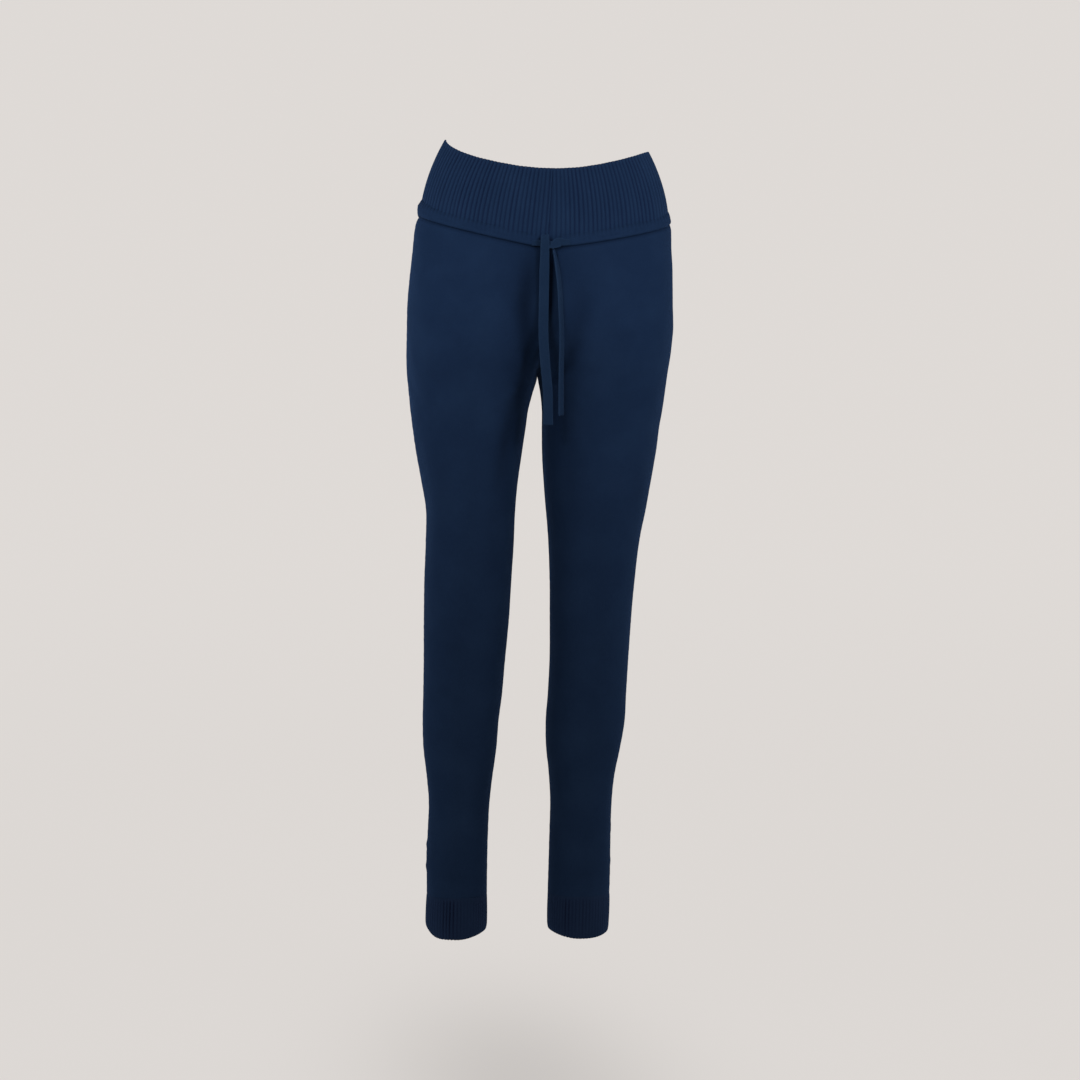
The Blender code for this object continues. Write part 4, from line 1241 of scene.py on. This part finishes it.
def cuff_grid(side, shares, turns):
    """The cuff's outer face: rows down it, and columns by turn, from the inner side over the front."""
    hem = HEMS[side]
    across = np.cos(np.radians(turns))
    low = np.where(turns <= 180.0, hem.front_z, hem.back_z)
    high = np.where(across > 0, hem.inner_z, hem.outer_z)
    late = np.where(across > 0, hem.inner, hem.outer)
    foot = (low + (high - low) * np.abs(across) ** late) * MM
    top = CUFF_TOP - SEAM_GAP / 2
    z = top + (foot - top)[None, :] * shares[:, None]
    height = np.maximum(z, LEVELS[-1].z * MM)
    on_front = turns <= 180.0
    grid = np.empty((len(shares), len(turns), 3))
    grid[:, on_front] = ring_point(side, "front", height[:, on_front], turns[None, on_front])
    grid[:, ~on_front] = ring_point(side, "back", height[:, ~on_front], 360.0 - turns[None, ~on_front])
    grid[..., 2] = z
    return grid


print("each cuff has", CUFF_RIBS, "ribs")

# %% Cuffs
def cuff(side, seed):
    """One cuff: a closed ribbed wall with a fold at its hem."""
    place, groove, rib = rib_columns(CUFF_RIBS, seed, uneven=CUFF_UNEVEN)
    fine = np.linspace(0, 360, 1441)
    length = arc_lengths(cuff_grid(side, np.array([0.5]), fine), 1)[0]
    girth = float(length[-1])
    turns = np.interp(place * girth, length, fine)
    outer = cuff_grid(side, CUFF_SHARES, turns)
    away = outer - outer.mean(axis=(0, 1))
    away[:, :, 2] = 0.0
    away = unit(away)
    down = CUFF_SHARES[:, None]
    start = eased(ramp(down, 0, CUFF_START))
    calmer = 1 - CUFF_CALM * ramp(down, 0.5, 1.0)
    beside = (turns - CUFF_STRONG[side] + 90) % 180 - 90
    groove = groove * (CUFF_WEAK + bell(beside, CUFF_STRONG_WIDTH))
    relief = -CUFF_RIB_DEPTH * groove * start * calmer - CUFF_SEAM_DIP * bell(down, CUFF_SEAM_WIDTH)
    swell = CUFF_SWELL * np.sin(math.pi * down)
    swell = swell + CUFF_WAVE * np.sin(rib * 2 * math.pi * CUFF_WAVES / CUFF_RIBS + seed) * start
    tucked = ramp(down, HEM_START, 1.0) ** 2
    swell -= HEM_TUCK * tucked
    inner = outer - away * (RIB_WALL - HEM_THINNING * tucked - swell + INNER_RIB_SHARE * relief)[..., None]
    outer = outer + away * (relief + swell)[..., None]
    over, under = folded_edge(outer[-1], inner[-1], unit(outer[-1] - outer[-2]))
    outer = np.concatenate([outer, over])
    inner = np.concatenate([inner, under[::-1]])
    calmer = np.concatenate([calmer, np.repeat(calmer[-1:], FOLD_ROWS, axis=0)])
    # painted shade in the grooves, and a little over the whole cuff
    wear_and_painted_light = CUFF_PALE - CUFF_GROOVE_SHADE * groove * calmer
    wear_and_painted_light[: len(start)] *= start
    around = np.append(rib, CUFF_RIBS) * girth / CUFF_RIBS
    piece = wall_piece(f"cuff_{side}_rib", outer, inner, wear_and_painted_light, closed=True, across=around)
    hand_over(piece, f"cuff_{side}", "rib_knit", "cuff_knit")


cuff("right", 41)
cuff("left", 42)

# %% [markdown]
# ## The knot
#
# The two ends of the tape leave the tunnel's mouths and are crossed once. The one from the left mouth lies
# in front, turns up over the other and folds down again, which makes the small loop on top of the right
# tie. The other passes behind it and turns edge-on as it comes out below. Each is the same tape, swept
# along a few given points, narrower where the knot squeezes it.

# %% The knot
Pass = namedtuple("Pass", "x y z face_x face_y face_z width")
# Millimetres, with the direction that the tape's flat side faces
FRONT_PASS = [
    Pass(20, -112.4, -94.7, 0, -1, 0.1, 6.5),
    Pass(12, -113.3, -94.8, 0, -1, 0.1, 8.0),
    Pass(7.0, -115.4, -94.4, 0, -1, 0.15, 10.8),
    Pass(3.0, -117.2, -96.2, 0.1, -1, 0.15, 11.8),
    Pass(-1.5, -119.0, -98.3, 0.1, -1, 0.2, 9.9),
    Pass(-5.2, -119.4, -98.3, 0, -1, 0.2, 9.2),
    Pass(-8.4, -117.3, -96.9, -0.2, -1, 0.1, 8.4),
    Pass(-11.4, -116.2, -94.0, -0.1, -1, -0.15, 8.4),
    Pass(-12.3, -116.2, -89.8, 0.1, -1, -0.6, 8.8),
    Pass(-12.3, -118.0, -87.0, 0.2, -0.15, -1, 9.2),
    Pass(-12.2, -120.2, -88.4, 0.1, 1, -0.5, 9.8),
    Pass(-12.2, -120.9, -93.2, 0, 1, -0.05, 10.6),
    Pass(-12.3, -120.7, -98.5, 0, 1, 0.05, 11.1),
    Pass(-12.4, -120.2, -103.0, -0.05, 1, 0.07, 11.3),
    Pass(-12.4, -119.9, -105.5, -0.05, 1, 0.07, 11.4),
]
BACK_PASS = [
    Pass(-28, -112.0, -96.0, 0, -1, 0.1, 6.5),
    Pass(-20, -112.2, -96.0, 0, -1, 0.1, 7.0),
    Pass(-12, -112.6, -96.6, 0.05, -1, 0.1, 7.6),
    Pass(-6.5, -112.7, -98.8, 0.25, -1, 0.1, 8.0),
    Pass(-3.0, -114.0, -101.4, 0.5, -1, 0.1, 7.0),
    Pass(-1.5, -116.4, -103.6, 0.75, -0.75, 0.0, 6.2),
    Pass(-0.8, -118.6, -105.6, 0.87, -0.5, 0.0, 6.0),
]
PASS_ROWS = 110


def passing_tape(passes):
    """Rings of the tape along a given line, with its flat side kept square to the line."""
    table = columns_of(passes)
    along = line_lengths(np.stack([table["x"], table["y"], table["z"]], axis=1))
    place = np.linspace(0, along[-1], PASS_ROWS)
    x, y, z, *face, width = (curve_through(along, table[field], place) for field in Pass._fields)
    middles = np.stack([x, y, z], axis=1) * MM
    tangent = unit(np.gradient(middles, axis=0))
    facing = np.stack(face, axis=1)
    facing = unit(facing - tangent * np.sum(facing * tangent, axis=1, keepdims=True))
    sideways = np.cross(tangent, facing)
    return tape_rings(middles, sideways, facing, width * MM, np.full(PASS_ROWS, TAPE_WALL))


knot_tubes = [passing_tape(FRONT_PASS), passing_tape(BACK_PASS)]
knot = tube_piece("tie_knot_tape", knot_tubes, np.concatenate([tape_wear(rings) for rings in knot_tubes]))
hand_over(knot, "tie_knot", "drawstring_knit")
print("knot has", len(knot.data.polygons), "faces")

# %% [markdown]
# ## The knit
#
# Every piece is knitted of the same navy yarn, in its own way, so one function builds the stitches and each
# cloth gives its own sizes. A plain knit shows columns of small V shapes, called wales, and each row of
# them is a course. The stitches are a height pattern on the UV map in metres. That height raises the
# surface a little, painted shade darkens the colour in the hollows between the loops, and noise breaks it
# up, because yarn is hairy. The attribute of wear and painted light lightens seams and crests, where cloth
# is rubbed, adds painted highlights on crease ridges and towards the waistband's sides, and paints shade
# into grooves, seams, creases and the line under the tunnel. The cuffs' colours are a touch redder and
# duller. A weak sheen stands for the fuzz that catches light at the edges of the form.

# %% Small helpers for nodes
def maths(tree, operation, first, second=0.0, third=None):
    """A Math node; each input is a number or another node's output."""
    node = tree.nodes.new("ShaderNodeMath")
    node.operation = operation
    for socket, value in zip(node.inputs, (first, second, third)):
        if value is None:
            continue
        if isinstance(value, (int, float)):
            socket.default_value = value
        else:
            tree.links.new(value, socket)
    return node.outputs[0]


def noise(tree, coordinates, scale, detail):
    """A Noise node's value: a higher scale makes its spots finer."""
    node = tree.nodes.new("ShaderNodeTexNoise")
    node.inputs["Scale"].default_value = scale
    node.inputs["Detail"].default_value = detail
    tree.links.new(coordinates, node.inputs["Vector"])
    return node.outputs["Fac"]


def blend_colour(tree, share, first, second):
    """Mixes two colours, each a tuple or an output, by a share."""
    node = tree.nodes.new("ShaderNodeMix")
    node.data_type = "RGBA"
    for socket, value in ((node.inputs[6], first), (node.inputs[7], second)):
        if isinstance(value, tuple):
            socket.default_value = (*value, 1.0)
        else:
            tree.links.new(value, socket)
    tree.links.new(share, node.inputs[0])
    return node.outputs[2]


print("node helpers are ready")

# %% A knitted cloth
# In each knit, deep is the colour painted as shade between the loops, and the colour after pale is the
# painted shade of grooves, seams and creases.
Knit = namedtuple("Knit", "name colour deep pale hollow wale course relief hair roughness")
LOOP_SLANT = 1.6             # how far a loop's two legs climb, in courses
LOOP_SHARE = 0.3             # how much of the height is the loops, one above another
LEG_ROUND = 0.6              # lower is rounder
PATCHES = (22.0, 3.0)        # noise, as its scale and detail: clouds of dye,
HEATHER = (900.0, 2.0)       # flecks of yarn
HAIRS = (2400.0, 3.0)        # and single hairs
CLOUDED = (0.40, 0.54)       # the value at which clouds start to show, and how strongly they do
FLECKED = (0.52, 1.1)        # and the same for flecks
RUB_FLECKS = 0.6             # rubbed cloth is paler on its flecks than between them
RUB_EVEN = 0.1
SHADE_SHARE = 0.8            # how much of the painted shade colour the deepest painted shade takes
ROUGH_VARIES = 0.12
SHEEN = 0.17                 # the fuzz catches a little light at the edges of the form
SHEEN_SPREAD = 0.30
SHEEN_TINT = (0.20, 0.38, 0.85, 1.0)
BUMP_STRENGTH = 0.5


def stitches(tree, knit):
    """The height of the loops, 0 to 1, from the UV map in metres."""
    place = tree.nodes.new("ShaderNodeUVMap")
    place.uv_map = "cloth"
    split = tree.nodes.new("ShaderNodeSeparateXYZ")
    tree.links.new(place.outputs[0], split.inputs[0])
    wales = maths(tree, "DIVIDE", split.outputs[0], knit.wale)
    slant = maths(tree, "PINGPONG", wales, 0.5)
    courses = maths(tree, "DIVIDE", split.outputs[1], knit.course)
    climb = maths(tree, "MULTIPLY_ADD", slant, LOOP_SLANT, courses)
    loop = maths(tree, "SINE", maths(tree, "MULTIPLY", climb, 2 * math.pi))
    loop = maths(tree, "MULTIPLY_ADD", loop, LOOP_SHARE, 1 - LOOP_SHARE)
    leg = maths(tree, "ABSOLUTE", maths(tree, "SINE", maths(tree, "MULTIPLY", wales, 2 * math.pi)))
    leg = maths(tree, "POWER", leg, LEG_ROUND)
    return maths(tree, "MULTIPLY", leg, loop)


def above(tree, value, start, strength):
    """How far a value is above its start, times a strength."""
    return maths(tree, "MULTIPLY", maths(tree, "SUBTRACT", value, start), strength)


def knit_material(knit):
    """A cloth: loops with painted shade between them, clouded dye, pale flecks, rubbed edges, and painted
    highlights and shade.
    """
    material = bpy.data.materials.new(knit.name)
    material.use_nodes = True
    tree = material.node_tree
    shader = tree.nodes["Principled BSDF"]
    shader.inputs["Specular IOR Level"].default_value = 0.0
    shader.inputs["Sheen Weight"].default_value = SHEEN
    shader.inputs["Sheen Roughness"].default_value = SHEEN_SPREAD
    shader.inputs["Sheen Tint"].default_value = SHEEN_TINT
    place = tree.nodes.new("ShaderNodeTexCoord").outputs["Object"]
    attribute = tree.nodes.new("ShaderNodeAttribute")
    attribute.attribute_name = "wear_and_painted_light"
    wear_and_painted_light = attribute.outputs["Fac"]
    height = stitches(tree, knit)
    patches = noise(tree, place, *PATCHES)
    heather = noise(tree, place, *HEATHER)
    hairs = noise(tree, place, *HAIRS)
    # above 0 the attribute is rubbed wear and painted highlight, paler on the flecks
    wear_and_highlight = maths(tree, "MAXIMUM", wear_and_painted_light, 0.0)
    rubbed = maths(tree, "MULTIPLY", wear_and_highlight, maths(tree, "MULTIPLY_ADD", heather, RUB_FLECKS, RUB_EVEN))
    flecks = maths(tree, "MAXIMUM", above(tree, heather, *FLECKED), 0.0)
    # below 0 the attribute paints shade, mixing towards the painted shade colour
    hollow = maths(tree, "MAXIMUM", maths(tree, "MULTIPLY", wear_and_painted_light, -1.0), 0.0)
    # painted shade between the loops, where the stitch height is low
    colour = blend_colour(tree, height, knit.deep, knit.colour)
    colour = blend_colour(tree, above(tree, patches, *CLOUDED), colour, knit.pale)
    colour = blend_colour(tree, flecks, colour, knit.pale)
    colour = blend_colour(tree, rubbed, colour, knit.pale)
    colour = blend_colour(tree, maths(tree, "MULTIPLY", hollow, SHADE_SHARE), colour, knit.hollow)
    tree.links.new(colour, shader.inputs["Base Color"])
    rough = maths(tree, "MULTIPLY_ADD", patches, ROUGH_VARIES, knit.roughness - ROUGH_VARIES / 2)
    tree.links.new(rough, shader.inputs["Roughness"])
    bump = tree.nodes.new("ShaderNodeBump")
    bump.inputs["Strength"].default_value = BUMP_STRENGTH
    bump.inputs["Distance"].default_value = knit.relief
    tree.links.new(maths(tree, "MULTIPLY_ADD", hairs, knit.hair, height), bump.inputs["Height"])
    tree.links.new(bump.outputs[0], shader.inputs["Normal"])
    print(knit.name, "has", len(tree.nodes), "nodes")
    return material


PALE_NAVY = (0.0165, 0.0375, 0.0910)
KNITS = [
    Knit("jersey_knit", (0.0102, 0.0242, 0.0632), (0.0060, 0.0141, 0.0385), PALE_NAVY,
         (0.0020, 0.0038, 0.0095), 1.35 * MM, 1.0 * MM, 0.22 * MM, 0.5, 0.90),
    Knit("rib_knit", (0.0104, 0.0248, 0.0645), (0.0060, 0.0143, 0.0385), PALE_NAVY,
         (0.0054, 0.0094, 0.0330), 1.36 * MM, 1.1 * MM, 0.28 * MM, 0.5, 0.90),
    Knit("cuff_knit", (0.0117, 0.0246, 0.0630), (0.0067, 0.0142, 0.0376), (0.0185, 0.0372, 0.0888),
         (0.0060, 0.0094, 0.0320), 1.36 * MM, 1.1 * MM, 0.28 * MM, 0.5, 0.90),
    Knit("drawstring_knit", (0.0108, 0.0255, 0.0624), (0.0063, 0.0149, 0.0370), (0.0174, 0.0386, 0.0855),
         (0.0030, 0.0060, 0.0150), 1.25 * MM, 1.0 * MM, 0.25 * MM, 0.4, 0.88),
]
cloths = {knit.name: knit_material(knit) for knit in KNITS}

# %% Each piece gets its cloth
for piece, cloth in made:
    piece.data.materials.clear()
    piece.data.materials.append(cloths[cloth])
    print(piece.name, "is", cloth, "with", len(piece.data.polygons), "faces")

# %% [markdown]
# ## Floor, backdrop and light
#
# The garment stands out from a plain pale sweep: a floor that curves up into a wall all round, so that
# every side has the same background. The sweep glows by itself, and a soft shadow is painted into that
# glow on the floor under the garment. Two narrow lamps high in front, one to each side, make the waist and
# hips brighter than the ankles. A tall strip at each side lights the outer edge of each leg, a small lamp
# helps the hip on the wearer's right, and another lamp lights the back. A dim, warm, even light keeps the
# shadows open.

# %% The pale sweep
FLOOR_Z = -1.13              # metres
SWEEP_RADIUS = 4.6
SWEEP_HEIGHT = 5.2
SWEEP_BEND = 1.4             # how far the bend between floor and wall reaches
BEND_STEPS = 14
SWEEP_SIDES = 96

bpy.ops.object.select_all(action="DESELECT")
bpy.ops.mesh.primitive_cylinder_add(
    vertices=SWEEP_SIDES, radius=SWEEP_RADIUS, depth=SWEEP_HEIGHT,
    location=(0, 0, FLOOR_Z + SWEEP_HEIGHT / 2),
)
sweep = bpy.context.object
sweep.name = "pale_sweep"
bpy.ops.object.transform_apply(location=True, rotation=True, scale=True)


def choose(mesh, kind, wanted):
    """Selects only the faces or edges that wanted says yes to, and returns to edit mode."""
    bpy.ops.object.mode_set(mode="EDIT")
    bpy.ops.mesh.select_mode(type=kind)
    bpy.ops.mesh.select_all(action="DESELECT")
    bpy.ops.object.mode_set(mode="OBJECT")
    for element in mesh.polygons if kind == "FACE" else mesh.edges:
        element.select = wanted(element)
    bpy.ops.object.mode_set(mode="EDIT")


choose(sweep.data, "FACE", lambda lid: lid.normal.z > 0.9)
bpy.ops.mesh.delete(type="FACE")
on_floor = [vertex.co.z < FLOOR_Z + 0.01 for vertex in sweep.data.vertices]
choose(sweep.data, "EDGE", lambda edge: all(on_floor[v] for v in edge.vertices))
bpy.ops.mesh.bevel(offset=SWEEP_BEND, segments=BEND_STEPS, affect="EDGES")
bpy.ops.mesh.select_all(action="SELECT")
bpy.ops.mesh.flip_normals()
bpy.ops.object.mode_set(mode="OBJECT")
sweep.data.shade_smooth()
print("sweep has", len(sweep.data.polygons), "faces")

# %% The sweep's paper
PAPER = (0.08, 0.076, 0.074, 1.0)
PALE = (0.737, 0.709, 0.688, 1.0)
FLOOR_GLOW = 0.91            # the floor glows less than the wall, and the lamps make up for it
WALL_GLOW = 0.93
GLOW_RISE = 0.5              # the wall is at its full glow this far above the floor
SHADOW_PLACE = (-0.05, -0.25)   # x and y of the middle of the soft shadow painted into the floor's glow
SHADOW_REACH = (0.17, 0.55)
SHADOW_DEPTH = 0.21

paper = bpy.data.materials.new("pale_paper")
paper.use_nodes = True
tree = paper.node_tree
shader = tree.nodes["Principled BSDF"]
shader.inputs["Base Color"].default_value = PAPER
shader.inputs["Roughness"].default_value = 1.0
shader.inputs["Specular IOR Level"].default_value = 0.0
shader.inputs["Emission Color"].default_value = PALE
place = tree.nodes.new("ShaderNodeTexCoord").outputs["Object"]
split = tree.nodes.new("ShaderNodeSeparateXYZ")
tree.links.new(place, split.inputs[0])
rise = tree.nodes.new("ShaderNodeMapRange")
rise.inputs["From Min"].default_value = FLOOR_Z
rise.inputs["From Max"].default_value = FLOOR_Z + GLOW_RISE
rise.inputs["To Min"].default_value = FLOOR_GLOW
rise.inputs["To Max"].default_value = WALL_GLOW
tree.links.new(split.outputs[2], rise.inputs["Value"])
# a soft shadow painted into the floor's glow under the garment
squares = []
for k in (0, 1):
    offset = above(tree, split.outputs[k], SHADOW_PLACE[k], 1 / SHADOW_REACH[k])
    squares.append(maths(tree, "MULTIPLY", offset, offset))
under = maths(tree, "EXPONENT", maths(tree, "MULTIPLY", maths(tree, "ADD", *squares), -1.0))
painted_shadow = maths(tree, "MULTIPLY_ADD", under, -SHADOW_DEPTH, 1.0)
tree.links.new(maths(tree, "MULTIPLY", rise.outputs[0], painted_shadow), shader.inputs["Emission Strength"])
sweep.data.materials.append(paper)
sweep.visible_diffuse = False
sweep.visible_glossy = False
print("the paper glows", FLOOR_GLOW, "to", WALL_GLOW)

# %% Studio light
LAMP_TINT = (0.88, 0.96, 1.0)
EVEN_TINT = (1.0, 0.88, 0.76, 1.0)
EVEN_STRENGTH = 0.615
# Places and sizes in metres. Each lamp looks at the point (aim_x, 0, aim_z); spread is its beam in degrees.
Lamp = namedtuple("Lamp", "name x y z aim_x aim_z wide tall spread watts")
LAMPS = [
    Lamp("key_right", -0.80, -1.40, 0.35, -0.24, -0.02, 0.5, 0.4, 45, 0.73),
    Lamp("key_left", 0.90, -1.40, 0.35, 0.24, -0.02, 0.5, 0.4, 45, 1.03),
    Lamp("right_strip", -1.60, 0.22, -0.42, 0.0, -0.42, 0.3, 1.5, 75, 0.90),
    Lamp("right_hip", -1.55, 0.10, 0.25, -0.15, -0.08, 0.3, 0.3, 42, 0.25),
    Lamp("left_strip", 1.60, 0.22, -0.38, 0.0, -0.38, 0.3, 1.5, 75, 0.74),
    Lamp("back_light", -0.2, 1.9, 0.55, 0.0, 0.0, 0.6, 0.5, 60, 1.8),
]
for lamp in LAMPS:
    light = bpy.data.lights.new(lamp.name, "AREA")
    light.shape = "RECTANGLE"
    light.size = lamp.wide
    light.size_y = lamp.tall
    light.energy = lamp.watts
    light.color = LAMP_TINT
    light.spread = math.radians(lamp.spread)
    holder = bpy.data.objects.new(lamp.name, light)
    holder.location = (lamp.x, lamp.y, lamp.z)
    beam = Vector((lamp.aim_x, 0.0, lamp.aim_z)) - holder.location
    holder.rotation_mode = "QUATERNION"
    holder.rotation_quaternion = beam.to_track_quat("-Z", "Y")
    holder.visible_camera = False
    bpy.context.scene.collection.objects.link(holder)

world = bpy.data.worlds.new("even_light")
world.use_nodes = True
background = world.node_tree.nodes["Background"]
background.inputs["Color"].default_value = EVEN_TINT
background.inputs["Strength"].default_value = EVEN_STRENGTH
bpy.context.scene.world = world
bpy.context.scene.view_settings.view_transform = "Standard"
print("lamps:", ", ".join(lamp.name for lamp in LAMPS))
